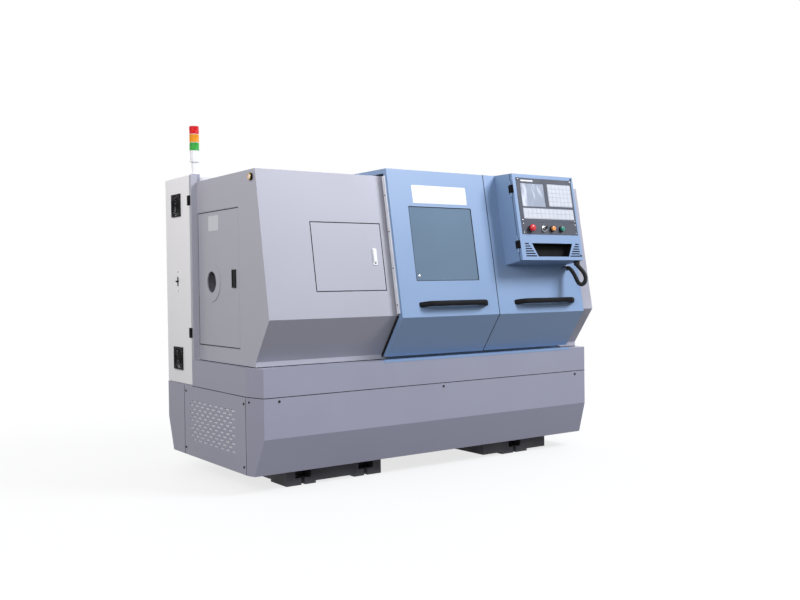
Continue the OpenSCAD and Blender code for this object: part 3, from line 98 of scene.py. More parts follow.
def uneven(tree, shader, dark, light, patch_mm, grain_mm, depth_mm, rough, stretch=(1, 1, 1)):
    """Colour that drifts between two near shades over patches, roughness that drifts with it, and a grain.

    patch_mm and grain_mm are the sizes of the patches and grains, depth_mm the grain's height, rough the lowest and
    highest roughness, and stretch draws the grain out along an axis where it is below one."""
    place = add(tree, "ShaderNodeTexCoord")
    patch = add(tree, "ShaderNodeTexNoise", {"Scale": 1000.0 / patch_mm, "Detail": 3.0},
                {"Vector": place.outputs["Object"]})
    shade = add(tree, "ShaderNodeMix", {"data_type": "RGBA", 6: srgb(dark), 7: srgb(light)},
                {0: patch.outputs["Fac"]})
    gloss = add(tree, "ShaderNodeMapRange", {"From Min": 0.3, "From Max": 0.7, "To Min": rough[0], "To Max": rough[1]},
                {"Value": patch.outputs["Fac"]})
    drawn = add(tree, "ShaderNodeMapping", {"Scale": stretch}, {"Vector": place.outputs["Object"]})
    grain = add(tree, "ShaderNodeTexNoise", {"Scale": 1000.0 / grain_mm, "Detail": 2.0},
                {"Vector": drawn.outputs["Vector"]})
    raised = add(tree, "ShaderNodeBump", {"Strength": 0.6, "Distance": depth_mm / 1000.0},
                 {"Height": grain.outputs["Fac"]})
    tree.links.new(shade.outputs[2], shader.inputs["Base Color"])
    tree.links.new(gloss.outputs["Result"], shader.inputs["Roughness"])
    tree.links.new(raised.outputs["Normal"], shader.inputs["Normal"])
    return place, shade


def grid(rows, cols, wrap=True):
    """Quads between neighbouring points of a grid of rows by cols, the last column joined to the first if wrap."""
    i = np.arange(rows - 1)[:, None]
    j = np.arange(cols if wrap else cols - 1)[None, :]
    k = (j + 1) % cols
    return np.stack(np.broadcast_arrays(i * cols + j, i * cols + k, (i + 1) * cols + k, (i + 1) * cols + j),
                    -1).reshape(-1, 4)


def capped(rings):
    """A shape from rings of equally many points in order: quads between the rings, each end closed on its middle."""
    rings = np.asarray(rings, float)
    ends = [np.broadcast_to(rings[i].mean(0), rings[:1].shape) for i in (0, -1)]
    rings = np.concatenate([ends[0], rings, ends[1]])
    return rings.reshape(-1, 3), grid(len(rings), rings.shape[1])


def piece(name, points, quads, finish, body, slot, stands_for=(), sharp_deg=35.0):
    """A mesh from points in metres and quads: doubles merged, normals outwards, edges over sharp_deg left sharp."""
    mesh = bpy.data.meshes.new(name)
    mesh.from_pydata(np.asarray(points, float).reshape(-1, 3).tolist(), [], np.asarray(quads).tolist())
    welded = bmesh.new()
    welded.from_mesh(mesh)
    bmesh.ops.remove_doubles(welded, verts=welded.verts, dist=1e-6)
    bmesh.ops.recalc_face_normals(welded, faces=welded.faces)
    welded.to_mesh(mesh)
    welded.free()
    mesh.shade_smooth()
    mesh.set_sharp_from_angle(angle=math.radians(sharp_deg))
    made = bpy.data.objects.new(name, mesh)
    bpy.context.collection.objects.link(made)
    made.data.materials.append(finish)
    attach(made, body)
    if stands_for:
        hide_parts(*stands_for)
    return made


def smooth_route(points, steps, fine=40):
    """A smooth curve through the points (Catmull-Rom cubics of fine steps), sampled at even spacing on its length."""
    p = np.vstack([2 * points[0] - points[1], points, 2 * points[-1] - points[-2]])
    t = np.linspace(0, 1, fine, endpoint=False)[None, :, None]
    a, b, c, d = (p[i:len(p) - 3 + i, None, :] for i in range(4))
    curve = 0.5 * (2 * b + (c - a) * t + (2 * a - 5 * b + 4 * c - d) * t ** 2 + (3 * b - a - 3 * c + d) * t ** 3)
    curve = np.vstack([curve.reshape(-1, 3), points[-1:]])
    along = np.concatenate([[0], np.cumsum(np.linalg.norm(np.diff(curve, axis=0), axis=1))])
    even = np.linspace(0, along[-1], steps)
    return np.stack([np.interp(even, along, curve[:, k]) for k in range(3)], 1), even


def corrugated(route, along, radius, ridge_pitch, ridge_depth, sides):
    """Rings across the route, their radius dipping once in each pitch along the length, closed at both ends."""
    ahead = np.gradient(route, axis=0)
    ahead /= np.linalg.norm(ahead, axis=1, keepdims=True)
    across = np.cross(ahead, (1.0, 0.0, 0.0))
    across /= np.linalg.norm(across, axis=1, keepdims=True)
    third = np.cross(ahead, across)
    r = radius - ridge_depth * (0.5 - 0.5 * np.cos(2 * np.pi * along / ridge_pitch)) ** 2
    turn = np.linspace(0, 2 * np.pi, sides, endpoint=False)[None, :, None]
    spokes = np.cos(turn) * across[:, None] + np.sin(turn) * third[:, None]
    return capped(route[:, None] + r[:, None, None] * spokes)


conduit_points = machine([
    (846, -102.8, 1093.1), (846, -116, 1090), (846, -140, 1072), (846, -162, 1044), (845, -183, 1013),
    (845, -195, 1001), (845, -212, 996), (845, -229, 1001), (845, -241, 1013), (845, -246, 1030),
    (845, -241, 1048), (845, -227, 1068), (845, -206, 1087), (845, -178.1, 1109.1),
])
conduit_route, conduit_along = smooth_route(conduit_points, 640)
conduit_shape = corrugated(conduit_route, conduit_along, radius=0.012, ridge_pitch=0.0046, ridge_depth=0.0016, sides=24)

# Nylon: black, slightly glossy from the extruder, its shade drifting a little along the hose.
black_nylon, tree, shader = material("black_nylon_hose", ior=1.53, specular_ior_level=0.3)
uneven(tree, shader, "#0e0e10", "#151517", 25, 1.5, 0.05, (0.42, 0.55))
conduit = piece("conduit_hose", *conduit_shape, black_nylon, "right_door", "black_plastic", ["conduit"], sharp_deg=60)

# Nickel plate: pale metal with soft reflections, used on the glands, screws and switch rings.
nickel, tree, shader = material("nickel_plate", metallic=1.0)
uneven(tree, shader, "#a9aaae", "#c0c1c4", 12, 1.2, 0.02, (0.2, 0.32))


def dress(finish, *names):
    """Gives the solids with these names one finish."""
    for name in names:
        solids[name].data.materials.clear()
        solids[name].data.materials.append(finish)


dress(nickel, "conduit_glands")


def placed(shape, places, axes):
    """A shape in local millimetres, turned to three axes and set at one place on the machine or many, as one mesh."""
    points, quads = shape
    places = np.atleast_2d(np.asarray(places, float))
    local = np.asarray(points) @ np.array(axes, float)
    moved = (places[:, None] + local[None]).reshape(-1, 3)
    faces = (np.asarray(quads)[None] + len(local) * np.arange(len(places))[:, None, None]).reshape(-1, 4)
    return machine(moved), faces


def turned(profile, sides):
    """A profile of (radius, height) carried round the axis: points in rings, with quads between them."""
    r, h = np.asarray(profile, float).T
    a = np.linspace(0, 2 * np.pi, sides, endpoint=False)
    points = np.stack([r[:, None] * np.cos(a), r[:, None] * np.sin(a), np.repeat(h[:, None], sides, 1)], -1)
    return points.reshape(-1, 3), grid(len(r), sides)


# The slope of the machine's front, up along it and out from it, which the covers, doors and control box share, and
# the line (y, z) where the covers bend under it.
slope_up = np.array((0.171626, 0.985162))
slope_out = np.array((-0.985162, 0.171626))
slope_axes = ((1, 0, 0), (0, *slope_up), (0, *slope_out))
cover_bend = np.array((-70.0, 850.0))


def slope_place(x, out, z):
    """The point at height z of the sloping face moved out by a distance, at x along the machine."""
    start = cover_bend + out * slope_out
    return np.array((x, start[0] + (z - start[1]) * slope_up[0] / slope_up[1], z))


lid_out, lid_foot_z = 187, 1135
lid_foot = slope_place(0, lid_out, lid_foot_z)


def lid_place(x, v, out=0.0):
    """The point of the control box's face at x, v up from its lower edge, and out from it."""
    return lid_foot + (x, *(v * slope_up + out * slope_out))


# A black nylon boot covers the gland under the control box, so that only the one on the door shows its metal.
boot = turned([(12, 24), (15.5, 22), (16.6, 19), (16.6, 10), (18.4, 8.5), (18.4, 0.4), (12, 0.4), (12, 24)], 28)
piece("gland_boot", *placed(boot, lid_place(845, 0, -36), ((1, 0, 0), (0, *slope_out), (0, *-slope_up))), black_nylon,
      "right_door", "black_plastic")

# Floor, backdrop and lamps
# A plain pale studio: a matt floor that keeps the machine's shadow, a white surround, a soft lamp high at the front
# right, and weaker ones at the left end, off the near corner, at the right and behind.


def seen_rays(tree):
    """A socket that is one for rays from the camera, through glass or off a gloss, and nought for scattered light."""
    ray = add(tree, "ShaderNodeLightPath")
    straight = add(tree, "ShaderNodeMath", {"operation": "MAXIMUM"},
                   {0: ray.outputs["Is Camera Ray"], 1: ray.outputs["Is Transmission Ray"]})
    return add(tree, "ShaderNodeMath", {"operation": "MAXIMUM"},
               {0: straight.outputs[0], 1: ray.outputs["Is Glossy Ray"]}).outputs[0]


floor_half = 30
floor_mesh = bpy.data.meshes.new("floor")
floor_mesh.from_pydata([(x * floor_half, y * floor_half, 0) for x, y in ((-1, -1), (1, -1), (1, 1), (-1, 1))], [],
                       [(0, 1, 2, 3)])
floor = bpy.data.objects.new("floor", floor_mesh)
bpy.context.collection.objects.link(floor)
pale_floor = bpy.data.materials.new("pale_studio_floor")
pale_floor.use_nodes = True
tree = pale_floor.node_tree
tree.nodes.clear()
matt = add(tree, "ShaderNodeBsdfDiffuse", {"Color": srgb("#e6e6e6")})
dull = add(tree, "ShaderNodeBsdfDiffuse", {"Color": srgb("#505054")})
white = add(tree, "ShaderNodeEmission", {"Color": (1, 1, 1, 1), "Strength": 1.0})
# Pale round the machine, where it takes the shadow, and plain white from 3.6 metres off.
place = add(tree, "ShaderNodeTexCoord")
off = add(tree, "ShaderNodeVectorMath", {"operation": "LENGTH"}, {0: place.outputs["Object"]})
paleness = add(tree, "ShaderNodeMapRange", {"From Min": 0.9, "From Max": 3.6, "To Min": 0.76, "To Max": 1.0},
               {"Value": off.outputs["Value"]})
seen = add(tree, "ShaderNodeMixShader", (), {0: paleness.outputs["Result"], 1: matt.outputs[0], 2: white.outputs[0]})
mixed = add(tree, "ShaderNodeMixShader", (), {0: seen_rays(tree), 1: dull.outputs[0], 2: seen.outputs[0]})
add(tree, "ShaderNodeOutputMaterial", (), {"Surface": mixed.outputs[0]})
floor_mesh.materials.append(pale_floor)

world = bpy.data.worlds.new("studio")
bpy.context.scene.world = world
world.use_nodes = True
tree = world.node_tree
tree.nodes.clear()
ambient = add(tree, "ShaderNodeBackground", {"Color": srgb("#eef0f5"), "Strength": 0.33})
white = add(tree, "ShaderNodeBackground", {"Color": (1, 1, 1, 1), "Strength": 1.0})
mixed = add(tree, "ShaderNodeMixShader", (), {0: seen_rays(tree), 1: ambient.outputs[0], 2: white.outputs[0]})
add(tree, "ShaderNodeOutputWorld", (), {"Surface": mixed.outputs[0]})


def lamp(name, place, target, size, watts, tint):
    """A square soft lamp at place, turned to the target."""
    made = bpy.data.objects.new(name, bpy.data.lights.new(name, "AREA"))
    made.data.size = size
    made.data.energy = watts
    made.data.color = srgb(tint)[:3]
    made.location = place
    made.rotation_euler = (Vector(target) - Vector(place)).to_track_quat("-Z", "Y").to_euler()
    made.visible_camera = False
    bpy.context.collection.objects.link(made)


lamp("key_lamp", (3.9, -5.3, 6.0), (0, -0.3, 0.9), 2.8, 670, "#f2f5ff")
lamp("left_lamp", (-3.3, 0.25, 2.8), (-1.1, 0.25, 1.45), 1.6, 27, "#fff8f6")
lamp("corner_lamp", (-4.6, -4.2, 3.0), (-0.6, -0.2, 1.1), 2.0, 170, "#f6f8ff")
lamp("right_lamp", (5.2, 1.4, 2.8), (1.0, 0.0, 1.0), 3.0, 110, "#f6f8ff")
lamp("back_lamp", (0.4, 6.0, 2.8), (0, 0.4, 1.0), 3.0, 220, "#f6f8ff")

# Legs
# Two hollow iron castings under the deck, painted near black, with machined pads on the floor and a slot for an
# anchor bolt in each foot.
cast_paint, tree, shader = material("painted_iron_casting", ior=1.5)
uneven(tree, shader, "#424046", "#504e54", 120, 9, 0.5, (0.55, 0.75))
dress(cast_paint, "left_leg", "right_leg")

# Base skirt and vent panel
# Folded 2.5 mm steel sheet round the legs in a grey powder coat: a front and a back skirt, and on the left a louvred
# panel over the motor bay with a pale filter mat behind its slots.


def powder_coat(name, dark, light):
    """Powder coat on sheet steel: an even shade, half gloss, with the low orange peel of the baked powder.

    The real peel is about 1.5 mm across; it is drawn 4 mm across so that it shows."""
    made, tree, shader = material(name, ior=1.5, specular_ior_level=0.45)
    uneven(tree, shader, dark, light, 420, 4, 0.06, (0.36, 0.47))
    return made


base_grey = powder_coat("base_grey_powder_coat", "#9494a3", "#9d9dac")
dress(base_grey, "front_skirt", "rear_skirt", "vent_panel", "chip_tray", "tower_post")


def joined(*shapes):
    """Several shapes as one: the points one after the other, and the quads counted on."""
    starts = np.cumsum([0] + [len(points) for points, quads in shapes[:-1]])
    return (np.vstack([points for points, quads in shapes]),
            np.vstack([np.asarray(quads) + start for (points, quads), start in zip(shapes, starts)]))


def lofted(rings):
    """Capped rings that are given in the machine's millimetres."""
    points, quads = capped(rings)
    return machine(points), quads


# Corners: the skirt's end sheets run flat down to the leaning front and back, so folded pieces fill them out there.
# The near corner is cut off from front_half to cut_y, and the cut meets the foot's front edge at cut_foot_x.
base_half, front_half, base_depth, cut_y, cut_foot_x = 1117, 1083, 1130, 117, 1102.8
skirt_foot, skirt_bend, skirt_top, skirt_lean = 91, 275, 477.8, 68
back_y = base_depth - cut_y
back_profile = [(base_depth - skirt_lean, skirt_foot), (base_depth, skirt_bend), (base_depth, skirt_top)]
for side, corner in ((-1, "left"), (1, "right")):
    front_x, end_x = side * front_half, side * base_half
    near = lofted([[(front_x, 0, skirt_bend)] * 3,
                   [(side * cut_foot_x, skirt_lean, skirt_foot), (front_x, skirt_lean, skirt_foot),
                    (end_x, cut_y, skirt_foot)]])
    far = lofted([[(end_x, back_y, z), (end_x, y, z), (front_x, y, z), (front_x, back_y, z)] for y, z in back_profile])
    piece(corner + "_skirt_corners", *joined(near, far), base_grey, "base", "base_paint")

# Sealing bead: black rubber pressed into the joint between the tray and the skirt. The same black bead along the
# covers' foot is painted shade: it stands for the contact shadow there.
seal_rubber, tree, shader = material("black_seal_rubber", ior=1.52, specular_ior_level=0.25)
uneven(tree, shader, "#131315", "#1b1b1d", 25, 1.5, 0.1, (0.6, 0.75))


def bead(path, z, height, proud, sunk=0.3):
    """A half-round section carried along a level path of (x, y) corners, mitred at each, to the path's right side."""
    path = np.asarray(path, float)
    edge = np.diff(path, axis=0)
    right = np.stack([edge[:, 1], -edge[:, 0]], 1) / np.linalg.norm(edge, axis=1, keepdims=True)
    before, after = np.vstack([right[:1], right]), np.vstack([right, right[-1:]])
    mitre = (before + after) / (1 + (before * after).sum(1, keepdims=True))
    a = np.linspace(0, np.pi, 7)
    out = np.concatenate([[-sunk], proud * np.sin(a), [-sunk]])
    up = np.concatenate([[-height / 2], -height / 2 * np.cos(a), [height / 2]])
    return lofted(np.concatenate([path[:, None] + mitre[:, None] * out[:, None],
                                  np.broadcast_to(z + up, (len(path), len(out)))[..., None]], -1))


cover_half, cover_foot_y, cover_foot_z = 1083, 78, 617
skirt_edge = [(-base_half, 783), (-base_half, cut_y), (-front_half, 0), (front_half, 0), (base_half, cut_y),
              (base_half, base_depth), (-base_half, base_depth)]
left_foot_shadow_path = [(-cover_half, 753), (-cover_half, cover_foot_y), (-312, cover_foot_y)]
right_foot_shadow_path = [(930, cover_foot_y), (cover_half, cover_foot_y), (cover_half, 779)]
piece("skirt_bead", *bead(skirt_edge, 473.8, 3.8, 1.4), seal_rubber, "base", "black_rubber", sharp_deg=70)
# Painted contact shadow: black beads along the foot of the left and right covers.
piece("left_cover_foot_shadow", *bead(left_foot_shadow_path, cover_foot_z, 3.6, 1.6), seal_rubber, "base", "black_rubber", sharp_deg=70)
piece("right_cover_foot_shadow", *bead(right_foot_shadow_path, cover_foot_z, 3.6, 1.6), seal_rubber, "base", "black_rubber", sharp_deg=70)

# Filter mat: white polyester fleece, matt and fibrous.
fleece, tree, shader = material("white_filter_fleece", ior=1.5, sheen_weight=0.3)
uneven(tree, shader, "#d6d6d9", "#e8e8ea", 30, 2.5, 0.4, (0.85, 0.95))


def pillow_sheet(width, height, thickness, waviness, cols, rows):
    """A closed sheet over (u, v): its front bulges by thickness and ripples by waviness, its back is flat."""
    u, v = np.meshgrid(np.linspace(-1, 1, cols), np.linspace(-1, 1, rows))
    rise = thickness * (1 - u ** 8) * (1 - v ** 8) + waviness * np.sin(9 * u) * np.cos(7 * v)
    front = np.stack([u * width / 2, v * height / 2, rise], -1).reshape(-1, 3)
    back = front * (1, 1, 0) - (0, 0, thickness)
    quads = grid(rows, cols, wrap=False)
    edge = np.concatenate([np.arange(cols), np.arange(1, rows) * cols + cols - 1,
                           (rows - 1) * cols + np.arange(cols - 2, -1, -1), np.arange(rows - 2, 0, -1) * cols])
    n = rows * cols
    rim = np.stack([edge, np.roll(edge, -1), np.roll(edge, -1) + n, edge + n], 1)
    return np.vstack([front, back]), np.vstack([quads, quads[:, ::-1] + n, rim])


left_axes = ((0, -1, 0), (0, 0, 1), (-1, 0, 0))
front_axes = ((1, 0, 0), (0, 0, 1), (0, -1, 0))
rear_axes = ((-1, 0, 0), (0, 0, 1), (0, 1, 0))
mat = pillow_sheet(width=600, height=250, thickness=1.5, waviness=0.3, cols=33, rows=17)
piece("filter_mat", *placed(mat, (-1112.6, 522, 289), left_axes), fleece, "base", "white_plastic")


def pan_screw(d):
    """Pan head with a shallow socket: out along the face, over the dome and down into the recess."""
    r = d / 2
    return turned([(0, -1), (r, -1), (r, 0.16 * d), (0.8 * r, 0.3 * d), (0.45 * r, 0.34 * d), (0.4 * r, 0.12 * d),
                   (0, 0.12 * d)], 12)


# Black oxide: the dark finish of the panel screws, dull with a brown cast.
black_oxide, tree, shader = material("black_oxide_screws", metallic=0.6)
uneven(tree, shader, "#201f20", "#2e2c2b", 8, 1.0, 0.02, (0.4, 0.55))
skirt_row = 455
vent_places = [(-base_half, y, z) for y, z in ((871, 442), (147, 439), (152, 128), (880, 130))]
front_places = [(x, 0, skirt_row) for x in (-1000, 0, 1000)]
back_places = [(x, base_depth, skirt_row) for x in (-1000, -350, 350, 1000)]
piece("vent_screws", *placed(pan_screw(13), vent_places, left_axes), black_oxide, "base", "black_plastic")
piece("skirt_screws", *placed(pan_screw(13), front_places, front_axes), black_oxide, "base", "black_plastic")
piece("rear_skirt_screws", *placed(pan_screw(13), back_places, rear_axes), black_oxide, "base", "black_plastic")


def outline(width, height, corner, steps):
    """A rounded rectangle: each corner's middle plus its radius along steps of a quarter turn, and those directions."""
    a = np.linspace(0, 0.5 * np.pi, steps)[None] + np.arange(4)[:, None] * 0.5 * np.pi
    away = np.stack([np.cos(a), np.sin(a)], -1)
    side = np.array([(1, 1), (-1, 1), (-1, -1), (1, -1)])[:, None]
    edge = side * (np.array((width, height)) / 2 - corner) + corner * away
    return edge.reshape(-1, 2), away.reshape(-1, 2)


def slab(width, height, corner, thickness, edge):
    """A rounded rectangle raised by thickness: rings at the foot, below the edge, round it and on the flat face."""
    def ring(inset, z):
        line = outline(width - 2 * inset, height - 2 * inset, max(corner - inset, 0.05), 6)[0]
        return np.column_stack([line, np.full(len(line), z)])

    return capped([ring(0, 0), ring(0, thickness - edge), ring(0.3 * edge, thickness - 0.3 * edge),
                   ring(edge, thickness), ring(1.5 * edge, thickness)])


# Edging: a thin rubber strip in the upright joint at each end of the vent panel.
piece("vent_edging", *placed(slab(3.2, 380, 1, 0.7, 0.3), [(-base_half, y, 282.5) for y in (129, 896)], left_axes),
      seal_rubber, "base", "black_rubber")
corner_axes = ((0.2791, -0.9603, 0), (0, 0, 1), (-0.9603, -0.2791, 0))
piece("corner_screw", *placed(pan_screw(11), (-1112, 99.8, 450), corner_axes), black_oxide, "base", "black_plastic")

# Bed, headstock, carriage and tailstock
# Grey iron castings with ground ways, an oiled film on them, and machined faces that still show the cutter's lines.
machined_iron, tree, shader = material("machined_grey_iron", metallic=0.4)
uneven(tree, shader, "#7c7f84", "#93969b", 90, 2.2, 0.06, (0.35, 0.55), (0.05, 1, 1))
dress(machined_iron, "bed", "headstock", "carriage", "tailstock")

# Spindle, chuck, slides, turret and screw
# Ground and hardened steel: bright, with fine grinding lines and a thin film of oil.
ground_steel, tree, shader = material("ground_steel", metallic=1.0)
uneven(tree, shader, "#9b9da1", "#b4b6ba", 60, 1.6, 0.03, (0.22, 0.36), (0.08, 1, 1))
dress(ground_steel, "spindle", "chuck", "jaw_1", "jaw_2", "jaw_3", "cross_slide", "turret", "z_screw", "quill",
      "motor_pulley", "drive_plate")

# Motors and belt
# A finned aluminium motor in dark blue-grey enamel, two black servo motors, and a ribbed rubber belt.
motor_enamel, tree, shader = material("motor_enamel", ior=1.5)
uneven(tree, shader, "#38444f", "#455361", 80, 5, 0.1, (0.35, 0.5))
dress(motor_enamel, "main_motor")
black_abs, tree, shader = material("black_moulded_abs", ior=1.54, specular_ior_level=0.1)
uneven(tree, shader, "#0b0b0d", "#131315", 40, 1.8, 0.08, (0.55, 0.7))
dress(black_abs, "z_servo", "x_servo", "upper_fan", "lower_fan", "fan_guards", "access_latch")
belt_rubber, tree, shader = material("belt_rubber", ior=1.52)
uneven(tree, shader, "#161616", "#202020", 30, 2.0, 0.2, (0.7, 0.85))
dress(belt_rubber, "drive_belt")

# Covers
# Folded sheet boxes over the headstock and the right end, the rear wall between them, the hatch and the access door,
# all in the lighter grey powder coat.
cover_grey = powder_coat("cover_grey_powder_coat", "#a6a6af", "#afafb8")
dress(cover_grey, "headstock_cover", "end_cover", "rear_wall", "hatch", "access_door")

# The rear wall is two sheets that meet at an upright joint; it and the right end are screwed to the frame behind them.
rear_wall_y, rear_middle_z = 781, 1095
rear_places = [(x, rear_wall_y, z) for x in (-330, 20, 325, 375, 700, 1055) for z in (640, rear_middle_z, 1550)]
piece("rear_wall_screws", *placed(pan_screw(11), rear_places, rear_axes), black_oxide, "base", "black_plastic")
piece("rear_wall_joint", *placed(slab(3.2, 952, 1, 0.7, 0.3), (350, rear_wall_y, rear_middle_z), rear_axes),
      seal_rubber, "base", "black_rubber")
right_axes = ((0, 1, 0), (0, 0, 1), (1, 0, 0))
right_places = [(cover_half, y, z) for y in (130, 440, 755) for z in (645, 1545)]
piece("right_end_screws", *placed(pan_screw(11), right_places, right_axes), black_oxide, "base", "black_plastic")

# Oil sight at the top corner of the left end: a black body with a turned brass rim round a domed glass, coloured pale
# as a painted highlight.
brass, tree, shader = material("turned_brass", metallic=1.0)
uneven(tree, shader, "#b58a3c", "#cfa655", 10, 1.0, 0.02, (0.22, 0.38))
# Painted highlight: the glass's pale colour stands for the bright spot at its middle.
sight_glass, tree, shader = material("sight_glass_painted_highlight", ior=1.5, specular_ior_level=0.6, coat_weight=0.3)
uneven(tree, shader, "#d9d6cd", "#ece9e2", 14, 1.2, 0.01, (0.12, 0.2))
sight_place = (-cover_half, 97, 1542)
sight_body = turned([(0, -1), (18, -1), (18, 9), (17.2, 10.4), (16, 11), (0, 11)], 36)
sight_rim = turned([(11.5, 10.6), (16.4, 10.6), (16.4, 12), (15.2, 13.4), (13, 13.4), (11.5, 12), (11.5, 10.6)], 36)
dome = np.linspace(0, 0.5 * np.pi, 7)
sight_dome = turned([(0, 10.6), *zip(11.7 * np.cos(dome), 11 + 2.6 * np.sin(dome))], 36)
piece("sight_body", *placed(sight_body, sight_place, left_axes), black_abs, "base", "black_plastic")
piece("sight_rim", *placed(sight_rim, sight_place, left_axes), brass, "base", "nickel")
piece("sight_dome", *placed(sight_dome, sight_place, left_axes), sight_glass, "base", "window_glass")

# Plain plates: where the machine has its notices there are bare plates of satin aluminium, stuck on.
satin_aluminium, tree, shader = material("satin_aluminium_plate", metallic=0.2, ior=1.45)
uneven(tree, shader, "#c2c4c8", "#cdced2", 60, 1.2, 0.02, (0.4, 0.5), (0.1, 1, 1))
piece("access_plate", *placed(slab(124, 79, 5, 1.0, 0.4), (-cover_half, 549, 1343), left_axes), satin_aluminium,
      "access_door", "aluminium_strip")

# Access door: black rubber strips along its top and bottom edges, thinner at the hinge side, are painted shade for
# the gaps round the door; behind its bar hole a short painted steel collar.
# Painted shade: these black strips stand for the shaded gaps round the access door.
access_gap_places = [(-cover_half, 499, z) for z in (702.5, 1404.5)]
piece("access_gap_shade", *placed(slab(500, 4, 1.6, 1.2, 0.5), access_gap_places, left_axes), seal_rubber, "access_door",
      "black_rubber")
piece("access_hinge_gap_shade", *placed(slab(2.6, 697, 1, 0.9, 0.4), (-cover_half, 746.5, 1053.5), left_axes), seal_rubber,
      "access_door", "black_rubber")
bar_collar = turned([(58.5, -40), (58.5, -2.6), (55.6, -2.6), (55.6, -40), (58.5, -40)], 64)
piece("bar_collar", *placed(bar_collar, (-cover_half, 576, 1036), left_axes), cast_paint, "access_door", "leg_paint")


def framed(width, height, corner, section):
    """A closed profile of (inwards, out) offsets carried round a rounded rectangle, as a ring of quads."""
    line, away = outline(width, height, corner, 7)
    inwards, out = np.asarray(section, float).T
    across = line[:, None] - away[:, None] * inwards[:, None]
    points = np.concatenate([across, np.broadcast_to(out[:, None], (*across.shape[:2], 1))], -1)
    points = np.concatenate([points, points[:1]])
    return points.reshape(-1, 3), grid(len(points), len(inwards))


# The hatch lies flush in the slope; its rubber edging shows as a thin dark line.
edging_section = [(0, -0.5), (0, 0.6), (0.8, 1.1), (2.8, 1.1), (3.6, 0.6), (3.6, -0.5)]
hatch_edging = framed(415, 347 / slope_up[1], 3, edging_section)
piece("hatch_edging", *placed(hatch_edging, slope_place(-604, 0, 1154), slope_axes), seal_rubber, "hatch",
      "black_rubber")

# The hatch's latch: a white moulded handle with a dark keyhole near its lower end.
white_abs, tree, shader = material("white_moulded_abs", ior=1.54, specular_ior_level=0.5)
uneven(tree, shader, "#e4e4e5", "#efefef", 30, 1.5, 0.04, (0.3, 0.42))
dress(white_abs, "hatch_latch", "tower_base")
hatch_latch_x = -449.5
keyhole = turned([(0, 2), (4, 2), (4, 3.8), (3, 4.4), (1.2, 4.4), (1.2, 3.6), (0, 3.6)], 16)
piece("latch_plate", *placed(slab(26, 87, 5, 3.4, 0.8), slope_place(hatch_latch_x, 0, 1153.4), slope_axes), white_abs,
      "hatch", "white_plastic")
piece("latch_keyhole", *placed(keyhole, slope_place(hatch_latch_x, 0, 1119.5), slope_axes), black_oxide, "hatch",
      "black_plastic")

# Sliding doors
# Two folded sheet doors in blue powder coat that hang on the rail with a hook and stand in front of the covers.
door_blue = powder_coat("door_blue_powder_coat", "#7f99bb", "#88a2c3")
dress(door_blue, "left_door", "right_door", "control_box", "control_lid", "door_rails")
door_out = 44

# Window: 8 mm laminated glass, faintly blue-grey, set back in the opening, with one plated stud at its lower corner.
# A thin black rubber lining round the opening is painted shade for the shadowed return of the door's sheet.
window_glass, tree, shader = material("laminated_window_glass", ior=1.5, transmission_weight=0.45)
uneven(tree, shader, "#7a96ae", "#87a3ba", 300, 60, 0.05, (0.06, 0.12))
dress(window_glass, "window_pane")
# Painted shade: the black lining stands for the shadowed return of the sheet round the glass.
lining_section = [(-0.6, 0.1), (-0.4, 0.7), (0.6, 0.7), (2.4, -0.6), (2.8, -7), (0.2, -7), (0.2, 0.1)]
window_shade_lining = framed(422, 394 / slope_up[1], 8, lining_section)
piece("window_shade_lining", *placed(window_shade_lining, slope_place(-21, door_out, 1225), slope_axes), seal_rubber, "left_door",
      "black_rubber")
stud = turned([(0, -2), (7.5, -2), (7.5, 1.5), (6, 3), (3, 3.4), (0, 3.4)], 20)
piece("window_stud", *placed(stud, slope_place(-208, 41, 1054), slope_axes), nickel, "left_door", "nickel")
piece("door_plate", *placed(slab(366, 98, 6, 1.0, 0.4), slope_place(-16, door_out, 1488), slope_axes), satin_aluminium,
      "left_door", "aluminium_strip")

# Seam: a rubber strip on the right door's free edge, down both slopes, which the left door closes against.
seam_path = np.array([(19, 1617), (-116.5, 839.4), (31.8, 632)])
seam_out = np.array([slope_out, (-1.0571, -0.241), (-0.8134, -0.5816)])
seam_rings = [[(x, *(at + by * out)) for x, by in ((305.6, -0.3), (305.6, 0.8), (309.2, 0.8), (309.2, -0.3))]
              for at, out in zip(seam_path, seam_out)]
piece("seam_rubber", *lofted(seam_rings), seal_rubber, "right_door", "black_rubber")

# Wiper strip: extruded aluminium held to the door's painted edge by pan-head screws.
bare_aluminium, tree, shader = material("extruded_aluminium", metallic=0.35)
uneven(tree, shader, "#e6e7ea", "#f0f1f3", 60, 1.5, 0.03, (0.3, 0.42), (1, 1, 0.08))
dress(door_blue, "wiper_strip")
side_axes = ((0, *slope_out), (0, *slope_up), (-1, 0, 0))
wiper_blade = slab(22, 717 / slope_up[1], 1, 6.0, 0.5)
piece("wiper_blade", *placed(wiper_blade, slope_place(-351.1, 21.5, 1218.5), side_axes), bare_aluminium, "left_door",
      "aluminium_strip")
wiper_places = [slope_place(-357.1, 22, z) for z in (905, 1095, 1285, 1475)]
piece("wiper_screws", *placed(pan_screw(8), wiper_places, side_axes), black_oxide, "left_door", "black_plastic")

# Below the bend a strip of black rubber along the door's edge is painted shade for the shaded gap between cover and
# door.
foot_shade_rings = [[(x, y, z) for x, (y, z) in ((-348.2, near), (-348.2, far), (-353, far), (-353, near))]
              for near, far in (((-72.1, 849.5), (-85.9, 846.4)), ((83.4, 632), (67.4, 632)))]
piece("foot_gap_shade", *lofted(foot_shade_rings), seal_rubber, "left_door", "black_rubber")

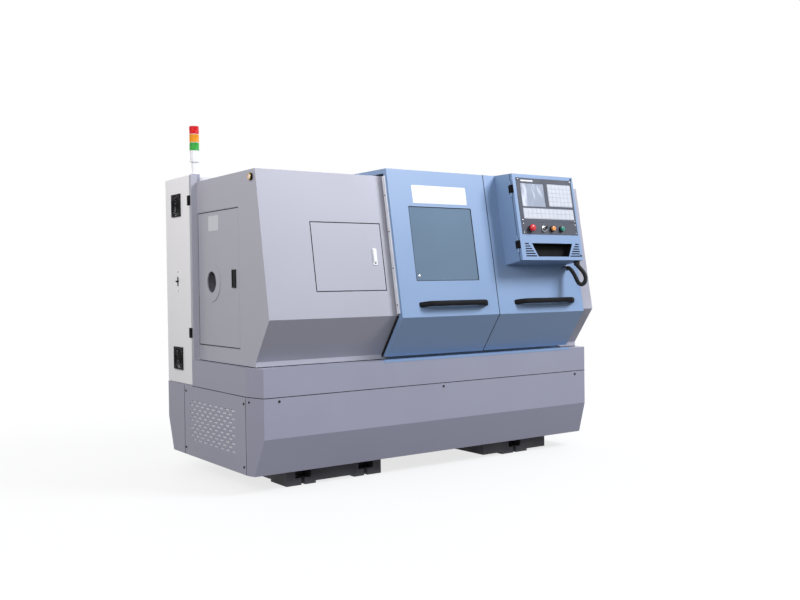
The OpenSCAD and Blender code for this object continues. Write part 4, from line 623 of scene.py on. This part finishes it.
# Guide rail: a folded blue strip on the tray's front edge, which the doors' feet run behind.
guide_section = np.array([(-1.2, 605), (-1.2, 617), (52, 617), (52, 615.4), (0.2, 615.4), (0.2, 605)])
guide_rings = [np.column_stack([np.full(len(guide_section), x), guide_section]) for x in (-386, 958)]
piece("guide_rail", *lofted(guide_rings), door_blue, "base", "blue_paint")

# Handles: moulded black bridge handles with splayed feet, screwed on from behind.


def bridge_handle(length, rise, splay, width, depth, reach=20.0, sides=20, squareness=0.6):
    """A rounded section carried along a path that leaves the door, leans in over the splay and runs level.

    Each bend of the path is a quadratic curve that starts and ends within reach of its corner."""
    half = length / 2 - depth * 0.6
    level = rise - depth / 2
    corners = np.array([(-half, -1.0), (-half + splay, level), (half - splay, level), (half, -1.0)])
    s = np.linspace(0, 1, 9)[:, None]

    def bend(k):
        legs = corners[[k - 1, k + 1]] - corners[k]
        before, after = corners[k] + legs * np.minimum(0.5, reach / np.linalg.norm(legs, axis=1, keepdims=True))
        return (1 - s) ** 2 * before + 2 * s * (1 - s) * corners[k] + s ** 2 * after

    path = np.vstack([corners[:1], bend(1), bend(2), corners[3:]])
    ahead = np.gradient(path, axis=0)
    ahead /= np.linalg.norm(ahead, axis=1, keepdims=True)
    out = np.stack([-ahead[:, 1], ahead[:, 0]], 1)
    out[0], out[-1] = (-1.0, 0.0), (1.0, 0.0)
    a = np.linspace(0, 2 * np.pi, sides, endpoint=False)
    p = np.sign(np.cos(a)) * np.abs(np.cos(a)) ** squareness * depth / 2
    q = np.sign(np.sin(a)) * np.abs(np.sin(a)) ** squareness * width / 2
    return capped(np.stack([path[:, None, 0] + out[:, None, 0] * p, np.broadcast_to(q, (len(path), sides)),
                            path[:, None, 1] + out[:, None, 1] * p], -1))


grip = bridge_handle(length=474, rise=49, splay=40, width=28, depth=25)
grip_z = 903
piece("left_grip", *placed(grip, slope_place(-1, door_out, grip_z), slope_axes), black_abs, "left_door",
      "black_plastic", ["left_handle"], sharp_deg=50)
piece("right_grip", *placed(grip, slope_place(659.25, door_out, grip_z), slope_axes), black_abs, "right_door",
      "black_plastic", ["right_handle"], sharp_deg=50)

# Control box
# A folded sheet box on the right door with a lid on two black hinges, a rubber gasket between the two, quarter-turn
# locks, and the numerical control with its screen, keypads and buttons set into the lid.
lid_gasket = framed(467.6, 489.9, 2, [(0, 0), (-0.7, -0.2), (-0.7, -2.6), (0, -2.8), (2, -2.8), (2, 0)])
piece("lid_gasket", *placed(lid_gasket, lid_place(629.5, 244.65, -18.6), slope_axes), seal_rubber, "right_door",
      "black_rubber")
lid_knuckle = turned([(0, -22.6), (5.8, -22.6), (6.2, -21.8), (6.2, 21.8), (5.8, 22.6), (0, 22.6)], 20)
lid_leaf = slab(16, 45, 2.5, 6.2, 1.2)
hinge_rows, leaf_x = (90, 404.3), 396.2
knuckle_places = [lid_place(390.5, v, -18) for v in hinge_rows]
lid_leaf_places = [lid_place(leaf_x, v, -9.5) for v in hinge_rows]
box_leaf_places = [lid_place(leaf_x, v, -29) for v in hinge_rows]
piece("lid_knuckles", *placed(lid_knuckle, knuckle_places, ((1, 0, 0), (0, *slope_out), (0, *slope_up))), black_abs,
      "control_lid", "black_plastic")
piece("lid_leaves", *placed(lid_leaf, lid_leaf_places, side_axes), black_abs, "control_lid", "black_plastic")
piece("box_leaves", *placed(lid_leaf, box_leaf_places, side_axes), black_abs, "right_door", "black_plastic")
lid_lock = turned([(0, -1), (7, -1), (7, 1.2), (5.6, 2), (2, 2), (2, 0.6), (0, 0.6)], 20)
piece("lid_locks", *placed(lid_lock, [lid_place(847, 476), lid_place(851, 26)], slope_axes), black_oxide,
      "control_lid", "black_plastic")

# Recess behind the grip opening and the louvres: one black moulding, clipped to the back of the lid's face, that
# closes the opening; its black is painted shade for the dark inside of the opening.


def recess(plate, mouth, sink, inset, wall):
    """Four-sided rings: from behind the floor out to the plate, round its edge, in to the mouth, down to the floor."""
    s = np.linspace(0, 1, 8, endpoint=False)[None, :, None]

    def ring(corners, out):
        c = np.asarray(corners, float)
        edge = (c[:, None] * (1 - s) + np.roll(c, -1, 0)[:, None] * s).reshape(-1, 2)
        return np.column_stack([edge, np.full(len(edge), out)])

    def moved(corners, by):
        c = np.asarray(corners, float)
        return c + by * np.sign(c - c.mean(0))

    floor_corners = moved(mouth, -inset)
    return capped([ring(moved(floor_corners, wall), -sink - wall), ring(moved(mouth, wall), -wall), ring(plate, -wall),
                   ring(plate, 0), ring(mouth, 0), ring(floor_corners, -sink)])


plate_corners = [(424, 12), (848, 12), (848, 104), (424, 104)]
mouth_corners = [(517, 19), (755, 19), (793.5, 97), (478.5, 97)]
# Painted shade: the cup's black stands for the shade inside the grip opening and the louvres.
grip_shade_cup = recess(plate_corners, mouth_corners, sink=44, inset=7, wall=2)
piece("grip_shade_cup", *placed(grip_shade_cup, lid_place(0, 0, -3.2), slope_axes), black_abs, "control_lid", "black_plastic")

# Operator panel: dark grey moulding with a fine spark-eroded texture; silver screws at its corners.
panel_grey, tree, shader = material("panel_grey_moulding", ior=1.52)
uneven(tree, shader, "#2f343f", "#383d48", 80, 1.6, 0.06, (0.5, 0.65))
dress(panel_grey, "operator_panel")
piece("panel_header", *placed(slab(92, 9, 2, 0.8, 0.3), lid_place(498, 452, 1.8), slope_axes), satin_aluminium,
      "control_lid", "aluminium_strip")
panel_places = [lid_place(x, v, 2) for x in (432, 834) for v in (155, 205, 226, 459)]
piece("panel_screws", *placed(pan_screw(7), panel_places, slope_axes), nickel, "control_lid", "nickel")

# Screen: a pale display behind a wrinkled protective film. Its reflections are painted into the colour as pale
# streaks about 40 mm apart and 170 mm long.
screen_face, tree, shader = material("display_film_painted_reflections", ior=1.45, specular_ior_level=0.4)
place, shade = uneven(tree, shader, "#929aa8", "#a2aab8", 45, 1.4, 0.01, (0.25, 0.32))
lean = add(tree, "ShaderNodeMapping", {"Rotation": (0, 0.5, 0), "Scale": (1000 / 40, 1000 / 40, 1000 / 170)},
           {"Vector": place.outputs["Object"]})
reflection_noise = add(tree, "ShaderNodeTexNoise", {"Scale": 1.0, "Detail": 2.0, "Distortion": 0.7},
            {"Vector": lean.outputs["Vector"]})
reflection_mask = add(tree, "ShaderNodeMapRange", {"From Min": 0.5, "From Max": 0.66}, {"Value": reflection_noise.outputs["Fac"]})
# Painted reflection: the pale colour mixed in along the streaks.
painted_reflection = add(tree, "ShaderNodeMix", {"data_type": "RGBA", 7: srgb("#d6dae2")},
          {0: reflection_mask.outputs["Result"], 6: shade.outputs[2]})
tree.links.new(painted_reflection.outputs[2], shader.inputs["Base Color"])
dress(screen_face, "screen")

# Keys: printed pads of pale polycarbonate, domed a little above the panel.
key_white, tree, shader = material("keypad_polycarbonate", ior=1.58, specular_ior_level=0.5)
uneven(tree, shader, "#c0c2c8", "#cccfd4", 26, 1.2, 0.02, (0.32, 0.45))
membrane, tree, shader = material("keypad_membrane", ior=1.58, specular_ior_level=0.4)
uneven(tree, shader, "#acaeb6", "#b8bac1", 60, 1.2, 0.02, (0.4, 0.5))
piece("data_membrane", *placed(slab(184, 130, 4, 0.9, 0.3), lid_place(741, 374, 1.9), slope_axes), membrane,
      "control_lid", "white_plastic")
piece("mode_membrane", *placed(slab(388, 61, 4, 0.9, 0.3), lid_place(639, 264.5, 1.9), slope_axes), membrane,
      "control_lid", "white_plastic")


def key_places(x, width, columns, v, height, rows):
    """The middles of an even block of keys, its lower left corner at x and v on the panel."""
    return [lid_place(x + width / columns * (i + 0.5), v + height / rows * (j + 0.5), 2.2)
            for i in range(columns) for j in range(rows)]


piece("data_keys", *placed(slab(27.2, 22.3, 2.5, 1.4, 0.5), key_places(652, 178, 6, 312, 124, 5), slope_axes),
      key_white, "control_lid", "white_plastic")
piece("mode_keys", *placed(slab(29.4, 25.1, 2.5, 1.4, 0.5), key_places(448, 382, 12, 237, 55, 2), slope_axes),
      key_white, "control_lid", "white_plastic")

# Buttons: moulded caps in black collars, whose black also paints the shadow beside the caps. The stop button is a
# mushroom, the selector a nickel ring with a black grip.
button_row = 178
stop_x, selector_x, hold_x, start_x = 483, 583, 646, 717
button_ring = turned([(15, -0.5), (17.5, -0.5), (17.5, 4), (16.6, 5.6), (14.6, 6.4), (13.6, 6.4), (13.6, -0.5),
                      (15, -0.5)], 32)
# Partly painted shadow: the collars are real rings, and their black also stands for the shadow at the caps' side.
collar_places = [lid_place(x, button_row, 0.5) for x in (stop_x, hold_x, start_x)]
piece("button_collars_and_shadow", *placed(button_ring, collar_places, slope_axes), black_abs, "control_lid", "black_plastic")
piece("selector_ring", *placed(button_ring, lid_place(selector_x, button_row, 0.5), slope_axes), nickel, "control_lid",
      "nickel")


def gloss_cap(name, dark, light):
    """Moulded cap: saturated thermoplastic with a clear gloss and the faint drift of the pigment."""
    made, tree, shader = material(name, ior=1.5, specular_ior_level=0.5, coat_weight=0.15)
    uneven(tree, shader, dark, light, 18, 1.0, 0.01, (0.24, 0.34))
    return made


stop_red = gloss_cap("stop_button_red", "#c4161e", "#d8222a")
hold_orange = gloss_cap("hold_button_orange", "#e08a3c", "#ee9a4a")
start_green = gloss_cap("start_button_green", "#177a66", "#208a74")
mushroom = turned([(0, 5), (7, 5), (7, 14.2), (17, 14.2), (19.4, 15), (20, 17), (20, 22), (18.8, 26), (15.5, 29.5),
                   (9, 31.6), (0, 32)], 40)
cap = turned([(0, 5), (7, 5), (7, 10.5), (12.2, 10.5), (13, 11.3), (13, 20.5), (12.2, 22), (10.4, 22.5), (0, 22.5)], 36)
piece("stop_mushroom", *placed(mushroom, lid_place(stop_x, button_row), slope_axes), stop_red, "emergency_stop",
      "red_plastic", ["emergency_stop"])
piece("hold_cap", *placed(cap, lid_place(hold_x, button_row), slope_axes), hold_orange, "hold_button",
      "orange_plastic", ["hold_button"])
piece("start_cap", *placed(cap, lid_place(start_x, button_row), slope_axes), start_green, "start_button",
      "green_plastic", ["start_button"])
dress(nickel, "selector_switch")
selector_turn = math.radians(-40)
selector_axes = np.array([(math.cos(selector_turn), math.sin(selector_turn), 0),
                          (-math.sin(selector_turn), math.cos(selector_turn), 0),
                          (0, 0, 1)]) @ np.array(slope_axes, float)
piece("selector_grip", *placed(slab(9, 25, 3.5, 12.5, 2), lid_place(selector_x, button_row, 14.5), selector_axes),
      black_abs, "selector_switch", "black_plastic")

# Electrical cabinet
# A welded sheet cabinet in white powder coat behind the headstock, with a hinged door, two fans behind black guards,
# and a quarter-turn latch.
cabinet_white = powder_coat("cabinet_white_powder_coat", "#dededf", "#e6e6e7")
dress(cabinet_white, "cabinet")
door_white = powder_coat("cabinet_door_white_powder_coat", "#f3f2f2", "#f8f8f8")
dress(door_white, "cabinet_door")
cabinet_places = [(x, 1124, z) for x in (-1070, -424) for z in (510, 865, 1225, 1585)]
piece("cabinet_back_screws", *placed(pan_screw(10), cabinet_places, rear_axes), nickel, "base", "nickel")
upright = ((1, 0, 0), (0, 1, 0), (0, 0, 1))
cabinet_knuckle = turned([(0, -26.4), (4.4, -26.4), (4.9, -25.6), (4.9, 25.6), (4.4, 26.4), (0, 26.4)], 20)
cabinet_hinges = (763, 1480)
piece("cabinet_knuckles", *placed(cabinet_knuckle, [(-1121.8, 782, z) for z in cabinet_hinges], upright), black_abs,
      "cabinet_door", "black_plastic")
piece("door_leaves", *placed(slab(24, 53, 2, 3.6, 0.8), [(-base_half, 795, z) for z in cabinet_hinges], left_axes),
      black_abs, "cabinet_door", "black_plastic")
piece("jamb_leaves", *placed(slab(9, 53, 2, 3.0, 0.8), [(-base_half, 771.5, z) for z in cabinet_hinges], left_axes),
      black_abs, "base", "black_plastic")

# Latch: a slim black lever plate with a standing knob, its spindle and cam behind the door, in a white moulded plate
# with two screws.
latch_y, latch_z = 954.5, 1043
latch_place = (-base_half, latch_y, latch_z)
lever_points, lever_quads = slab(8, 50, 3.5, 3.2, 0.8)
cam_points, cam_quads = slab(12, 36, 3, 3, 0.6)
latch_knob = turned([(0, -6), (4.8, -6), (4.8, 0.4), (6.4, 0.4), (6.4, 6.2), (4.4, 6.6), (4.4, 14.6), (3.8, 16),
                     (2.4, 16.8), (0, 16.8)], 28)
latch_shape = joined(latch_knob, (lever_points + (0, 0, 2.6), lever_quads),
                     (cam_points[:, (1, 0, 2)] + (12, 0, -8.5), cam_quads))
latch_surround = framed(24, 126, 5, [(0, 0), (0, 1.6), (0.8, 2.2), (2.2, 2.2), (2.2, 0)])
piece("latch_lever", *placed(latch_shape, latch_place, left_axes), black_abs, "cabinet_latch", "black_plastic",
      ["cabinet_latch"])
piece("latch_surround", *placed(latch_surround, latch_place, left_axes), white_abs, "cabinet_door", "white_plastic")
piece("latch_screws", *placed(pan_screw(6), [(-base_half, latch_y, latch_z + up) for up in (-53, 53)], left_axes),
      black_oxide, "cabinet_door", "black_plastic")

# Signal tower
# Three moulded lenses that lock into each other on a white base and stem, over the grey square post.


def ribbed_lens(radius, height, neck, ribs):
    """A turned cup with upright ribs: the radius dips between the ribs on the side and is plain at neck and top."""
    h = np.array([0, 0, neck, neck, neck + 1.2, neck + 2.0, height - 2.0, height - 0.8, height, height])
    r = np.array([0, radius - 2.6, radius - 2.6, radius - 0.8, radius, radius, radius, radius - 0.3, radius - 1.2, 0])
    ribbed = np.array([0, 0, 0, 0, 0, 1, 1, 0, 0, 0])
    a = np.linspace(0, 2 * np.pi, ribs * 4, endpoint=False)
    dip = 0.7 * (0.5 - 0.5 * np.cos(ribs * a))
    rr = r[:, None] - ribbed[:, None] * dip
    points = np.stack([rr * np.cos(a), rr * np.sin(a), np.repeat(h[:, None], len(a), 1)], -1)
    return points.reshape(-1, 3), grid(len(h), len(a))


tower_axis = (-1067, 819)
lens_feet = {"green_lens": 1752, "amber_lens": 1797, "red_lens": 1842}
lens_shades = {"green_lens": ("#2b9532", "#3aa842"), "amber_lens": ("#e08a04", "#ea9812"),
               "red_lens": ("#c8060f", "#d8121b")}
lens_cup = ribbed_lens(radius=26, height=45, neck=3, ribs=30)
for lens, foot_z in lens_feet.items():
    # Polycarbonate: clear colour.
    clear, tree, shader = material(lens + "_polycarbonate", ior=1.58, specular_ior_level=0.12)
    uneven(tree, shader, *lens_shades[lens], 20, 1.0, 0.01, (0.3, 0.4))
    piece(lens + "_cup", *placed(lens_cup, (*tower_axis, foot_z), upright), clear, "base", lens, [lens])

# A pale clear ring shows between one lens and the next, where they lock.
lens_ring = turned([(22, 0.1), (24.6, 0.1), (25.3, 0.8), (25.3, 2.2), (24.6, 2.9), (22, 2.9), (22, 0.1)], 48)
piece("lens_rings", *placed(lens_ring, [(*tower_axis, z) for z in lens_feet.values()], upright), white_abs, "base",
      "white_plastic")
